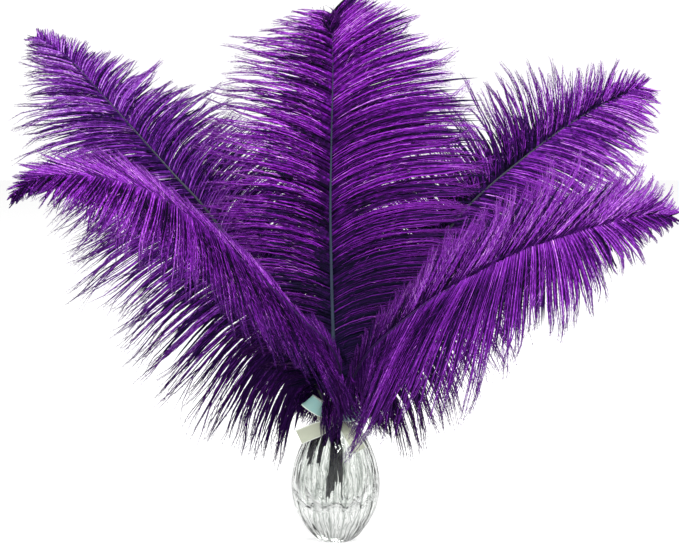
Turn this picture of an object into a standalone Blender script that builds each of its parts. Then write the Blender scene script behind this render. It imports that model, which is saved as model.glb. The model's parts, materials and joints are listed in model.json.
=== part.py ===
"""Five ostrich plumes in a fluted clear glass vase with a ribbon bow round its neck.

Metres, +Z up. The origin is the middle of the vase's flat foot. The front of the
bouquet faces -Y, and +X is on the right of someone who looks at it. The sizes below
are in millimetres, and MM turns them into metres.
"""
import math

import bmesh
import bpy
import numpy as np
from mathutils import Vector

MM = 0.001
MERGE_DISTANCE = 0.00001

# ---- vase: (radius, height) of each point of the turned wall ----
FLUTES = 16
POINTS_PER_FLUTE = 2
FLUTE_DEPTH = 0.9
LIP_SCALLOP = 0.8
FOOT_RADIUS = 13.0
BELLY_RADIUS = 34.7
NECK_RADIUS = 13.6
NECK_HEIGHT = 99.0
LIP_RADIUS = 18.5
LIP_HEIGHT = 111.0
FLOOR_HEIGHT = 27.0
OUTER_PROFILE = (
    (FOOT_RADIUS, 0.0), (19.6, 5.5), (26.2, 15.0), (31.8, 26.0), (BELLY_RADIUS, 41.0),
    (33.4, 57.0), (28.9, 71.8), (22.6, 84.0), (16.2, 92.5), (NECK_RADIUS, NECK_HEIGHT),
    (15.4, 106.0), (LIP_RADIUS, LIP_HEIGHT),
)
INNER_PROFILE = (
    (16.9, LIP_HEIGHT), (13.2, 106.0), (11.6, NECK_HEIGHT), (13.6, 92.0), (19.4, 83.0),
    (25.0, 71.0), (28.6, 57.0), (28.2, 43.0), (22.0, 32.0), (11.0, FLOOR_HEIGHT),
)
FLUTE_HEIGHTS = (0.0, 4.0, 12.0, 84.0, NECK_HEIGHT, LIP_HEIGHT)
FLUTE_DEPTHS = (0.0, 0.4 * FLUTE_DEPTH, FLUTE_DEPTH, FLUTE_DEPTH, 0.3 * FLUTE_DEPTH, LIP_SCALLOP)
WALL_TEST = 0.2  # a vertex this close to the outer profile belongs to the outer wall

# ---- ribbon: a band round the neck, a knot in front of it, two loops and two tails ----
RIBBON_WIDTH = 12.0
RIBBON_THICKNESS = 0.9
BAND_SEGMENTS = 24
BAND_THICKNESS = 1.2
BAND_GAP = 0.45
BAND_LEVELS = (95.8, NECK_HEIGHT, 102.2)
KNOT_CENTER = (0.0, -18.0, 99.0)
KNOT_HALF_SIZES = (5.0, 3.9, 4.2)
KNOT_SEGMENTS = 10
KNOT_RINGS = 6
LOOP_REACH = (                     # (distance from the knot, distance forward) along a loop
    (0, 1.4), (5, 3.0), (12, 4.2), (18, 3.4), (21.5, 0.0),
    (18, -2.2), (12, -2.4), (5, -1.8), (0, -1.2),
)
LOOP_PINCH = (0.40, 0.62, 0.95, 1.0, 1.0, 1.0, 0.95, 0.62, 0.40)
LEFT_LOOP_AXIS = (-0.79, -0.22, 0.57)
LEFT_LOOP_ACROSS = (0.78, 0.0, 0.62)
LEFT_LOOP_STRETCH = 1.3
RIGHT_LOOP_AXIS = (0.88, -0.30, 0.37)
RIGHT_LOOP_ACROSS = (-0.40, 0.0, 0.92)
LEFT_TAIL = ((-1.5, -18.5, 97.5), (-7, -20.5, 94), (-14, -20.5, 91), (-21, -19.5, 88), (-28.5, -18, 84.5))
LEFT_TAIL_ACROSS = (-0.45, 0.0, 0.89)
RIGHT_TAIL = ((1.5, -18.5, 97.5), (6.5, -20, 93.5), (11, -21.5, 88.5), (15, -23.2, 82), (18.5, -24.6, 75))
RIGHT_TAIL_ACROSS = (0.80, 0.38, 0.46)
TAIL_PINCH = (0.45, 0.8, 1.0, 1.0, 1.0)

# ---- plumes: sizes that all five share ----
SHAFT_SIDES = 8
QUILL_RADIUS = 1.9
TIP_RADIUS = 0.55
QUILL_STATIONS = 5
LOCKS_PER_SIDE = 22
VANE_STRIPS = (0.30, 0.60)         # shares of a barb's length where the closed sheet bends
LOCK_STEPS = ((0.82, 0.62), (1.0, 0.16))  # where each lock narrows, and to what share of its width
VANE_HALF_THICKNESS = 0.55
LOCK_TIP_HALF_THICKNESS = 0.35
LOCK_VARIATION = 0.10
CURVE_SAMPLES = 400
CURVE_STEPS = 40
BARB_STEPS = 24
BARB_LOOK_BACK = 0.02              # how far back along a barb its direction is read

# ---- materials ----
GLASS_COLOR = (0.86, 0.88, 0.85)
SATIN_COLOR = (0.72, 0.78, 0.70)
DYE_COLOR = (0.16, 0.03, 0.30)


def read_list(values, along):
    """A value of an evenly spaced list, at a share of its length."""
    return float(np.interp(along, np.linspace(0.0, 1.0, len(values)), values))


def unit(vector):
    """The vector at length one."""
    return vector / np.linalg.norm(vector)


def to_world(point):
    """A point in metres from a point in millimetres."""
    return Vector([float(value) * MM for value in point])


def smooth_curve(points, count):
    """Even samples along a Catmull-Rom curve through the points."""
    knots = np.array(points, dtype=float)
    padded = np.vstack([2 * knots[0] - knots[1], knots, 2 * knots[-1] - knots[-2]])
    dense = []
    for start in range(len(knots) - 1):
        before, first, second, after = padded[start:start + 4]
        for step in np.linspace(0.0, 1.0, CURVE_STEPS, endpoint=False):
            dense.append(0.5 * (2 * first + (second - before) * step
                                + (2 * before - 5 * first + 4 * second - after) * step ** 2
                                + (3 * first - before - 3 * second + after) * step ** 3))
    dense.append(knots[-1])
    dense = np.array(dense)
    travelled = np.concatenate([[0.0], np.cumsum(np.linalg.norm(np.diff(dense, axis=0), axis=1))])
    even = np.linspace(0.0, travelled[-1], count)
    return np.column_stack([np.interp(even, travelled, dense[:, axis]) for axis in range(3)])


class Vane:
    """One side of a plume. Each list runs from the vane's foot to its tip."""

    def __init__(self, lean, lengths, leave, reach, sag):
        self.lean = lean        # world directions that the vane spreads in
        self.lengths = lengths  # lengths of the barbs
        self.leave = leave      # degrees between barb and shaft where they join
        self.reach = reach      # degrees between barb and shaft at the barb's end
        self.sag = sag          # how much a barb's weight pulls its end down


class Plume:
    """A shaft that follows a route, with a vane on each side of it."""

    def __init__(self, route, vane_start, left, right):
        self.line = smooth_curve(route, CURVE_SAMPLES)
        self.ahead = np.gradient(self.line, axis=0)
        self.vane_start = vane_start
        self.left = left
        self.right = right

    def at(self, position, values):
        """Values along the shaft, read at a share of its length."""
        places = np.linspace(0.0, 1.0, CURVE_SAMPLES)
        return np.array([np.interp(position, places, values[:, axis]) for axis in range(3)])

    def position(self, along):
        """The share of the shaft's length that a share of the vane's length stands at."""
        return self.vane_start + (1.0 - self.vane_start) * along

    def spread(self, vane, along):
        """The shaft's direction and the vane's sideways direction at a share of the vane's length."""
        tangent = unit(self.at(self.position(along), self.ahead))
        lean = np.array([read_list(component, along) for component in zip(*vane.lean)])
        return tangent, unit(lean - tangent * lean.dot(tangent))

    def barb(self, vane, along, fractions):
        """Points of the barb that leaves the shaft there, at fractions of its length."""
        tangent, side = self.spread(vane, along)
        step_length = read_list(vane.lengths, along) / BARB_STEPS
        leave = math.radians(read_list(vane.leave, along))
        reach = math.radians(read_list(vane.reach, along))
        path = [self.at(self.position(along), self.line)]
        for step in range(BARB_STEPS):
            share = (step + 0.5) / BARB_STEPS
            angle = leave + (reach - leave) * (1.0 - (1.0 - share) ** 2)
            heading = math.cos(angle) * tangent + math.sin(angle) * side
            heading[2] -= 2.0 * vane.sag * share
            path.append(path[-1] + unit(heading) * step_length)
        path = np.array(path)
        even = np.linspace(0.0, 1.0, BARB_STEPS + 1)
        return np.column_stack([np.interp(fractions, even, path[:, axis]) for axis in range(3)])


LEFT = (-1.0, -0.18, 0.0)
RIGHT = (1.0, -0.18, 0.0)
LEFT_AND_DOWN = (-1.0, 0.18, -0.5)
RIGHT_AND_UP = (1.0, 0.04, 0.5)
LEFT_AND_UP = (-0.5, 0.04, 1.0)
RIGHT_AND_DOWN = (0.5, 0.18, -1.0)
PLUMES = {
    "feather_center": Plume(
        route=((5, -1, 28), (3, -0.3, 64), (1, 1, 100), (-1, 4, 141), (-3, 8, 200), (-4, 10, 262),
               (-3, 7, 322), (-2, 1, 372), (-3, -8, 411)),
        vane_start=0.24,
        left=Vane((LEFT, LEFT), (52, 86, 104, 106, 104, 93, 72, 16), (60, 58, 56, 54, 54, 56, 58, 46),
                  (96, 91, 86, 82, 79, 76, 74, 56), 0.08),
        right=Vane((RIGHT, RIGHT), (52, 88, 116, 122, 118, 102, 74, 16), (60, 57, 54, 52, 50, 49, 46, 32),
                   (96, 91, 86, 83, 81, 76, 62, 42), 0.08),
    ),
    "feather_back_left": Plume(
        route=((7, 3.5, 28.7), (1, 4.2, 64), (-6, 6, 99), (-10, 7.5, 112), (-21, 13, 132),
               (-41, 21, 165), (-62, 30, 201), (-84, 38, 233), (-106, 45, 261), (-127, 50.5, 283),
               (-148, 56, 306), (-168, 60, 328), (-188, 63, 350), (-207, 65.5, 371),
               (-224, 66.5, 385), (-236, 67, 392)),
        vane_start=0.22,
        left=Vane((LEFT_AND_DOWN, LEFT_AND_DOWN), (70, 100, 116, 122, 110, 88, 56, 14),
                  (108, 84, 62, 50, 44, 38, 30, 12), (140, 126, 112, 96, 78, 62, 46, 20), 0.10),
        right=Vane((RIGHT_AND_UP, RIGHT_AND_UP), (50, 78, 86, 78, 66, 46, 21, 7),
                   (42, 46, 50, 53, 55, 56, 52, 36), (60, 68, 80, 92, 98, 96, 84, 46), 0.04),
    ),
    "feather_back_right": Plume(
        route=((-6, 8.5, 28.5), (0, 8.6, 64), (6, 6, 99), (10, 8, 113), (20, 13.5, 131),
               (45, 28, 172), (72, 40, 216), (105, 50, 259), (152, 58, 299), (193, 63, 328),
               (228, 65, 347), (243, 65, 353)),
        vane_start=0.22,
        left=Vane((LEFT_AND_UP, LEFT_AND_UP), (50, 80, 90, 84, 74, 60, 40, 12),
                  (45, 46, 46, 44, 40, 34, 26, 10), (66, 74, 82, 82, 72, 56, 40, 18), 0.04),
        right=Vane((RIGHT_AND_DOWN, RIGHT_AND_DOWN), (80, 106, 116, 112, 100, 82, 50, 13),
                   (55, 54, 52, 48, 42, 36, 28, 12), (140, 124, 104, 84, 68, 52, 40, 20), 0.08),
    ),
    "feather_front_left": Plume(
        route=((-5, -8, 28), (-2, -8, 64), (1.5, -8, 99), (3, -17, 135), (-7, -30, 160),
               (-24, -42, 178), (-46, -58, 203), (-72, -78, 230), (-101, -98, 257), (-135, -118, 282),
               (-166, -134, 293), (-195, -148, 297), (-215, -158, 295), (-229, -164, 286)),
        vane_start=0.23,
        left=Vane(((-0.18, -1.04, -0.03), (-0.2, -0.75, -0.65), (0, -0.6, -0.8)),
                  (47, 64, 78, 80, 70, 54, 34, 10), (55, 101, 135, 142, 126, 92, 54, 20),
                  (146, 140, 144, 140, 118, 96, 68, 30), 0.10),
        right=Vane(((0.2, 1.0, 0), (0.1, 0.9, 0), (0, 0.85, 0.5)),
                   (16, 28, 42, 54, 62, 56, 36, 9), (38, 38, 39, 40, 40, 39, 32, 12),
                   (42, 42, 44, 48, 54, 56, 46, 22), 0.04),
    ),
    "feather_front_right": Plume(
        route=((-5, -3.5, 28), (0.5, -4.2, 64), (6.5, -4.5, 99), (9.5, -8, 113), (16, -14, 133),
               (28, -24, 154), (53, -42, 179), (77, -58, 199), (109, -76, 219), (141, -92, 237),
               (172, -108, 249), (199, -122, 259), (223, -134, 266), (242, -142, 268)),
        vane_start=0.22,
        left=Vane(((-0.4, 1.0, 0), (-0.1, 0.7, 0.7), (0, 0.5, 0.85)),
                  (18, 38, 60, 76, 80, 72, 46, 10), (40, 40, 40, 38, 36, 31, 24, 10),
                  (50, 50, 52, 52, 48, 41, 32, 16), 0.04),
        right=Vane(((0.27, -1.02, -0.16), (0.1, -0.6, -0.8), (0, -0.5, -0.85)),
                   (65, 93, 114, 118, 104, 80, 42, 8), (48, 82, 110, 126, 114, 84, 48, 16),
                   (146, 142, 148, 142, 130, 108, 72, 30), 0.12),
    ),
}


def make_material(name, color, roughness, transmission=0.0):
    """A Principled material for one kind of piece."""
    material = bpy.data.materials.new(name)
    material.use_nodes = True
    shader = material.node_tree.nodes["Principled BSDF"]
    shader.inputs["Base Color"].default_value = (*color, 1.0)
    shader.inputs["Roughness"].default_value = roughness
    shader.inputs["Metallic"].default_value = 0.0
    shader.inputs["Transmission Weight"].default_value = transmission
    return material


def finish(bm, name, material, smooth_angle=40.0):
    """Turn a closed bmesh into a named, shaded object."""
    bmesh.ops.triangulate(bm, faces=bm.faces[:])
    bmesh.ops.recalc_face_normals(bm, faces=bm.faces[:])
    mesh = bpy.data.meshes.new(name)
    bm.to_mesh(mesh)
    bm.free()
    mesh.shade_smooth()
    mesh.set_sharp_from_angle(angle=math.radians(smooth_angle))
    mesh.materials.append(material)
    piece = bpy.data.objects.new(name, mesh)
    bpy.context.scene.collection.objects.link(piece)
    return piece


def turn_profile(profile, segments, closed):
    """A bmesh of the surface that a (radius, height) profile sweeps round the Z axis."""
    bm = bmesh.new()
    points = [bm.verts.new(to_world((radius, 0.0, height))) for radius, height in profile]
    ends = points[1:] + points[:1] if closed else points[1:]
    edges = [bm.edges.new(pair) for pair in zip(points, ends)]
    bmesh.ops.spin(bm, geom=points + edges, cent=(0, 0, 0), axis=(0, 0, 1), angle=2 * math.pi,
                   steps=segments, use_merge=True, use_duplicate=False)
    bmesh.ops.remove_doubles(bm, verts=bm.verts[:], dist=MERGE_DISTANCE)
    return bm


def outer_radius(height):
    """Radius of the vase's outer wall at a height."""
    radii, heights = zip(*OUTER_PROFILE)
    return float(np.interp(height, heights, radii))


def build_vase(material):
    """The vase: one turned wall, its outside pressed into flutes that fade out at the foot."""
    bm = turn_profile([(0.0, 0.0), *OUTER_PROFILE, *INNER_PROFILE, (0.0, FLOOR_HEIGHT)],
                      FLUTES * POINTS_PER_FLUTE, closed=False)
    for vertex in bm.verts:
        radius = math.hypot(vertex.co.x, vertex.co.y) / MM
        height = vertex.co.z / MM
        if abs(radius - outer_radius(height)) > WALL_TEST:
            continue
        depth = float(np.interp(height, FLUTE_HEIGHTS, FLUTE_DEPTHS))
        turn = math.atan2(vertex.co.y, vertex.co.x)
        pressed = radius - depth * (0.5 - 0.5 * math.cos(FLUTES * turn))
        vertex.co.x *= pressed / radius
        vertex.co.y *= pressed / radius
    return finish(bm, "vase", material, smooth_angle=30.0)


def matched(vertices, positions):
    """The vertices that stand at the positions, in the positions' order."""
    return [min(vertices, key=lambda vertex: (vertex.co - position).length) for position in positions]


def extrude_faces(bm, faces, keep=False):
    """Extrude faces as one region and give its new vertices, which stand on the old ones."""
    made = bmesh.ops.extrude_face_region(bm, geom=faces)["geom"]
    if not keep:
        bmesh.ops.delete(bm, geom=faces, context="FACES_ONLY")
    return [item for item in made if isinstance(item, bmesh.types.BMVert)]


def sweep_rings(rings):
    """A closed tube through rings of corners, as a bmesh and its corners, ring by ring."""
    bm = bmesh.new()
    start = bmesh.ops.create_circle(bm, cap_ends=True, segments=len(rings[0]), radius=MM)
    tube = [list(start["verts"])]
    for corner, place in zip(tube[0], rings[0]):
        corner.co = to_world(place)
    for ring in rings[1:]:
        old = [corner.co.copy() for corner in tube[-1]]
        cap = bm.faces.get(tube[-1])
        corners = matched(extrude_faces(bm, [cap], keep=len(tube) == 1), old)
        for corner, place in zip(corners, ring):
            corner.co = to_world(place)
        tube.append(corners)
    return bm, tube


def shaft_rings(plume, stations):
    """Cross-sections of the shaft, each with a flat side towards each vane, and their up directions."""
    rings = []
    upward = []
    for station in stations:
        along = max(0.0, (station - plume.vane_start) / (1.0 - plume.vane_start))
        tangent, right = plume.spread(plume.right, along)
        left = plume.spread(plume.left, along)[1]
        side = right - left
        side = unit(side - tangent * side.dot(tangent))
        up = np.cross(tangent, side)
        center = plume.at(station, plume.line)
        radius = QUILL_RADIUS + (TIP_RADIUS - QUILL_RADIUS) * along
        turns = [2.0 * math.pi * (corner + 0.5) / SHAFT_SIDES for corner in range(SHAFT_SIDES)]
        rings.append([center + radius * (math.cos(turn) * side + math.sin(turn) * up) for turn in turns])
        upward.append(up)
    return rings, upward


def vane_corners(plume, vane, along, fraction, half_thickness, up):
    """The upper and lower corner of the vane's sheet at a point of a barb."""
    before, point = plume.barb(vane, along, (fraction - BARB_LOOK_BACK, fraction))
    tangent = plume.spread(vane, along)[0]
    normal = unit(np.cross(tangent, point - before)) * half_thickness
    if normal.dot(up) < 0.0:
        normal = -normal
    return to_world(point + normal), to_world(point - normal)


def lock_fraction(fraction, number):
    """Locks end at slightly different shares of the barbs' length."""
    if fraction < 1.0:
        return fraction
    return 1.0 - LOCK_VARIATION * (0.5 + 0.5 * math.sin(7.3 * number))


def grow_vane(bm, plume, vane, strip, upward):
    """Grow one vane out of the shaft's side faces: a thin sheet first, then its locks.

    strip holds the (upper, lower) corners of the shaft's side at each lock's border, from
    the vane's foot to its tip, and upward holds the shaft's up direction there.
    """
    borders = np.linspace(0.0, 1.0, LOCKS_PER_SIDE + 1)
    for fraction in VANE_STRIPS:
        faces = [bm.faces.get((*first, *reversed(second))) for first, second in zip(strip, strip[1:])]
        old = [[corner.co.copy() for corner in corners] for corners in strip]
        fresh = extrude_faces(bm, faces)
        strip = [matched(fresh, places) for places in old]
        for along, corners, up in zip(borders, strip, upward):
            places = vane_corners(plume, vane, along, fraction, VANE_HALF_THICKNESS, up)
            for corner, place in zip(corners, places):
                corner.co = place

    for number, (first, second) in enumerate(zip(strip, strip[1:])):
        lock = [*first, *reversed(second)]
        middle = 0.5 * (borders[number] + borders[number + 1])
        for fraction, width in LOCK_STEPS:
            old = [corner.co.copy() for corner in lock]
            made = bmesh.ops.extrude_discrete_faces(bm, faces=[bm.faces.get(lock)])["faces"]
            lock = matched(list(made[0].verts), old)
            half = 0.5 * width / LOCKS_PER_SIDE
            thickness = VANE_HALF_THICKNESS if fraction < 1.0 else LOCK_TIP_HALF_THICKNESS
            reached = lock_fraction(fraction, number)
            near = vane_corners(plume, vane, middle - half, reached, thickness, upward[number])
            far = vane_corners(plume, vane, middle + half, reached, thickness, upward[number])
            for corner, place in zip(lock, (*near, *reversed(far))):
                corner.co = place


def build_plume(name, plume, material):
    """One plume as one closed solid: quill, shaft, and two vanes that end in locks."""
    quill = np.linspace(0.0, plume.vane_start, QUILL_STATIONS, endpoint=False)
    borders = plume.position(np.linspace(0.0, 1.0, LOCKS_PER_SIDE + 1))
    rings, upward = shaft_rings(plume, [*quill, *borders])
    bm, tube = sweep_rings(rings)
    upward = upward[QUILL_STATIONS:]
    tube = tube[QUILL_STATIONS:]
    opposite = SHAFT_SIDES // 2
    grow_vane(bm, plume, plume.right, [(ring[0], ring[-1]) for ring in tube], upward)
    grow_vane(bm, plume, plume.left, [(ring[opposite - 1], ring[opposite]) for ring in tube], upward)
    return finish(bm, name, material)


def sweep_ribbon(name, path, across, pinch, material):
    """A length of ribbon: a flat cross-section carried along a path and narrowed where it is pinched."""
    places = np.array(path, dtype=float)
    rings = []
    for place, ahead, narrow in zip(places, np.gradient(places, axis=0), pinch):
        heading = unit(ahead)
        width = np.array(across) - heading * heading.dot(across)
        width = unit(width) * 0.5 * RIBBON_WIDTH * narrow
        thick = unit(np.cross(heading, width)) * 0.5 * RIBBON_THICKNESS
        front = place + thick
        back = place - thick
        rings.append([front + width, front - width, back - width, back + width])
    return finish(sweep_rings(rings)[0], name, material)


def loop_path(axis, stretch=1.0):
    """A bow loop: out along its axis in front, round its end and back behind."""
    middle_x, middle_y, middle_z = KNOT_CENTER
    along = [value * stretch for value in axis]
    return [(middle_x + reach * along[0], middle_y - depth + reach * along[1], middle_z + reach * along[2])
            for reach, depth in LOOP_REACH]


def build_band(material):
    """The band: a thin turned ring that follows the waist of the vase's neck."""
    inner = [(outer_radius(level) + BAND_GAP, level) for level in BAND_LEVELS]
    outer = [(radius + BAND_THICKNESS, level) for radius, level in reversed(inner)]
    return finish(turn_profile(inner + outer, BAND_SEGMENTS, closed=True), "ribbon_bow", material)


def build_knot(material):
    """The knot: a small rounded lump that joins the band, the loops and the tails."""
    bm = bmesh.new()
    bmesh.ops.create_uvsphere(bm, u_segments=KNOT_SEGMENTS, v_segments=KNOT_RINGS, radius=MM)
    bmesh.ops.scale(bm, vec=KNOT_HALF_SIZES, verts=bm.verts[:])
    bmesh.ops.translate(bm, vec=to_world(KNOT_CENTER), verts=bm.verts[:])
    return finish(bm, "knot", material)


def build_ribbon(material):
    """The ribbon bow as one solid: the knot, loops and tails are united with the band."""
    band = build_band(material)
    joined = [
        build_knot(material),
        sweep_ribbon("left_loop", loop_path(LEFT_LOOP_AXIS, LEFT_LOOP_STRETCH), LEFT_LOOP_ACROSS, LOOP_PINCH,
                     material),
        sweep_ribbon("right_loop", loop_path(RIGHT_LOOP_AXIS), RIGHT_LOOP_ACROSS, LOOP_PINCH, material),
        sweep_ribbon("left_tail", LEFT_TAIL, LEFT_TAIL_ACROSS, TAIL_PINCH, material),
        sweep_ribbon("right_tail", RIGHT_TAIL, RIGHT_TAIL_ACROSS, TAIL_PINCH, material),
    ]
    for piece in joined:
        union = band.modifiers.new(piece.name, "BOOLEAN")
        union.operation = "UNION"
        union.solver = "EXACT"
        union.object = piece
        piece.hide_render = True
        piece.display_type = "WIRE"
    return band


def main():
    """Build every piece."""
    for piece in list(bpy.data.objects):
        bpy.data.objects.remove(piece, do_unlink=True)
    build_vase(make_material("clear_glass", GLASS_COLOR, 0.06, transmission=0.9))
    build_ribbon(make_material("satin", SATIN_COLOR, 0.45))
    for name, plume in PLUMES.items():
        build_plume(name, plume, make_material(name + "_dye", DYE_COLOR, 0.8))


if __name__ == "__main__":
    main()
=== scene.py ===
"""Looks for five dyed ostrich plumes that stand in a small fluted glass vase with a ribbon bow.

The plumes grow here barb by barb along the same routes that their solids follow. The vase
and the ribbon are made again with the fine surfaces that the plain solids leave out.
Sizes are in millimetres unless a name says otherwise, and MM turns them into metres.
"""
from __future__ import annotations

import json
import logging
import math
from dataclasses import dataclass, field
from enum import Enum

import bmesh
import bpy
import numpy as np
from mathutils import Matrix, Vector

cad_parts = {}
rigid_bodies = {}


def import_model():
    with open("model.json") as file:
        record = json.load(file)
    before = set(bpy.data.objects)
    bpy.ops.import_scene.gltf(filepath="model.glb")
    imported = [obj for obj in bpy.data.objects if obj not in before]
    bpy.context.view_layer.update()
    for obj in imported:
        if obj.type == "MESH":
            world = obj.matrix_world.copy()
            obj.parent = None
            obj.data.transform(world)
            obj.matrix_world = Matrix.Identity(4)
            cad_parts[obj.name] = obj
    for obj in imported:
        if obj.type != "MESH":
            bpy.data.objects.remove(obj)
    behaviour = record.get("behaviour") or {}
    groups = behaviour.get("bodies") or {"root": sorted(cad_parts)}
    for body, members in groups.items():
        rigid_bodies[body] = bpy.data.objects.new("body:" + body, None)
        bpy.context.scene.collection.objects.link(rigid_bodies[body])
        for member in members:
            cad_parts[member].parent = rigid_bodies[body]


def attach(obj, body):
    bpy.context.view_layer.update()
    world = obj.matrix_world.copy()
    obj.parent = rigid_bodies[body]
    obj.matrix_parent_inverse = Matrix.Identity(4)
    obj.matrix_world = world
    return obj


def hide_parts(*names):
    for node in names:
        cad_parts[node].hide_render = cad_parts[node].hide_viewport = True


for leftover in list(bpy.data.objects):
    bpy.data.objects.remove(leftover, do_unlink=True)
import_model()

LOG = logging.getLogger("plume_bouquet")
BODY = "root"
MM = 0.001
NEAR = 1e-6
TINY = 1e-9

Pair = tuple[float, float]
Triple = tuple[float, float, float]
Curve = tuple[Triple, ...]
Values = tuple[float, ...]
Socket = bpy.types.NodeSocket


# ---- small helpers


def srgb(red: int, green: int, blue: int) -> Triple:
    """Return the linear colour of an sRGB colour.

    Args:
        red: Its red, from 0 to 255.
        green: Its green.
        blue: Its blue.

    Returns:
        The colour's linear channels, from 0 to 1.
    """

    def linear(channel: int) -> float:
        """Return one channel."""
        share = channel / 255.0
        return share / 12.92 if share <= 0.04045 else ((share + 0.055) / 1.055) ** 2.4

    return linear(red), linear(green), linear(blue)


def unit(vectors: np.ndarray) -> np.ndarray:
    """Return the vectors at length one."""
    return vectors / np.maximum(np.linalg.norm(vectors, axis=-1, keepdims=True), TINY)


def per_barb(numbers: np.ndarray) -> np.ndarray:
    """Shape one number for each barb so that it meets (barb, sample, 3) points."""
    return numbers[:, None, None]


def read_list(values: Values, along: np.ndarray) -> np.ndarray:
    """Return values of an evenly spaced list at shares of its length."""
    return np.interp(along, np.linspace(0.0, 1.0, len(values)), values)


def read_vectors(vectors: np.ndarray, along: np.ndarray) -> np.ndarray:
    """Return vectors of an evenly spaced list at shares of its length."""
    return np.stack([read_list(vectors[:, axis], along) for axis in range(3)], axis=-1)


def ease(share: np.ndarray) -> np.ndarray:
    """Return a soft step from 0 to 1 for shares between 0 and 1."""
    held = np.clip(share, 0.0, 1.0)
    return held * held * (3.0 - 2.0 * held)


def smooth_curve(points: Curve, count: int, steps: int = 40) -> np.ndarray:
    """Sample a Catmull-Rom curve evenly.

    Args:
        points: The points that the curve passes through.
        count: How many samples to give.
        steps: How finely each stretch is measured.

    Returns:
        The samples, one row each.
    """
    knots = np.array(points, dtype=float)
    padded = np.vstack([2 * knots[0] - knots[1], knots, 2 * knots[-1] - knots[-2]])
    step = np.linspace(0.0, 1.0, steps, endpoint=False)[:, None]
    dense = []
    for start in range(len(knots) - 1):
        before, first, second, after = padded[start:start + 4]
        dense.append(0.5 * (2 * first + (second - before) * step
                            + (2 * before - 5 * first + 4 * second - after) * step ** 2
                            + (3 * first - before - 3 * second + after) * step ** 3))
    dense = np.vstack([*dense, knots[-1:]])
    travelled = np.concatenate([[0.0], np.cumsum(np.linalg.norm(np.diff(dense, axis=0), axis=1))])
    even = np.linspace(0.0, travelled[-1], count)
    return np.column_stack([np.interp(even, travelled, dense[:, axis]) for axis in range(3)])


def link(piece: bpy.types.Object) -> bpy.types.Object:
    """Put an object in the scene and return it."""
    bpy.context.scene.collection.objects.link(piece)
    return piece


def mesh_from(bm: bmesh.types.BMesh, name: str) -> bpy.types.Mesh:
    """Turn a bmesh into a mesh, and free it."""
    mesh = bpy.data.meshes.new(name)
    bm.to_mesh(mesh)
    bm.free()
    return mesh


def mark_corners(mesh: bpy.types.Mesh, marks: dict[str, np.ndarray]) -> None:
    """Give a mesh's corners the numbers that its finish reads, and shade it smooth."""
    for name, values in marks.items():
        mesh.attributes.new(name, "FLOAT", "POINT").data.foreach_set("value", values.astype(np.float32))
    mesh.shade_smooth()


def mesh_piece(name: str, mesh: bpy.types.Mesh, material: bpy.types.Material) -> bpy.types.Object:
    """Make a mesh a piece of the bouquet.

    Args:
        name: The piece's name.
        mesh: Its mesh, in metres and in place.
        material: Its finish.

    Returns:
        The piece, which rides on the bouquet's one body.
    """
    mesh.materials.clear()
    mesh.materials.append(material)
    piece = link(bpy.data.objects.new(name, mesh))
    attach(piece, BODY)
    return piece


class Nodes:
    """A tree of shader nodes, added one by one with what feeds them."""

    def __init__(self, tree: bpy.types.NodeTree) -> None:
        """Take the tree that the nodes go into."""
        self.tree = tree

    def feed(self, socket: Socket, value: Socket | float | Triple) -> None:
        """Link a socket to another one, or set its own value.

        Args:
            socket: The socket that is fed.
            value: Another socket, a number, a vector or a colour.
        """
        if isinstance(value, Socket):
            self.tree.links.new(value, socket)
        elif socket.type == "RGBA":
            socket.default_value = (*value, 1.0)
        else:
            socket.default_value = value

    def add(self, kind: str, output: str | int, inputs: dict, **fields: str) -> Socket:
        """Add a node.

        Args:
            kind: What it is, without the ShaderNode that starts its type.
            output: Which of its outputs to give.
            inputs: What feeds its inputs, by their names or numbers.
            fields: Its settings.

        Returns:
            The output.
        """
        node = self.tree.nodes.new("ShaderNode" + kind)
        for name, value in fields.items():
            setattr(node, name, value)
        for name, value in inputs.items():
            self.feed(node.inputs[name], value)
        return node.outputs[output]

    def spread(self, number: Socket, low: float, high: float, to_low: float, to_high: float) -> Socket:
        """Return a number carried from one range to another, and held inside it."""
        return self.add("MapRange", "Result", {"Value": number, "From Min": low, "From Max": high,
                                               "To Min": to_low, "To Max": to_high})

    def worked(self, operation: str, first: Socket, *others: Socket | float) -> Socket:
        """Return numbers worked out with one another by a maths operation, from the first on."""
        for other in others:
            first = self.add("Math", "Value", {0: first, 1: other}, operation=operation)
        return first

    def sum(self, *numbers: Socket | float) -> Socket:
        """Return the sum of some numbers."""
        return self.worked("ADD", *numbers)

    def product(self, *numbers: Socket | float) -> Socket:
        """Return the product of some numbers."""
        return self.worked("MULTIPLY", *numbers)


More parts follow.
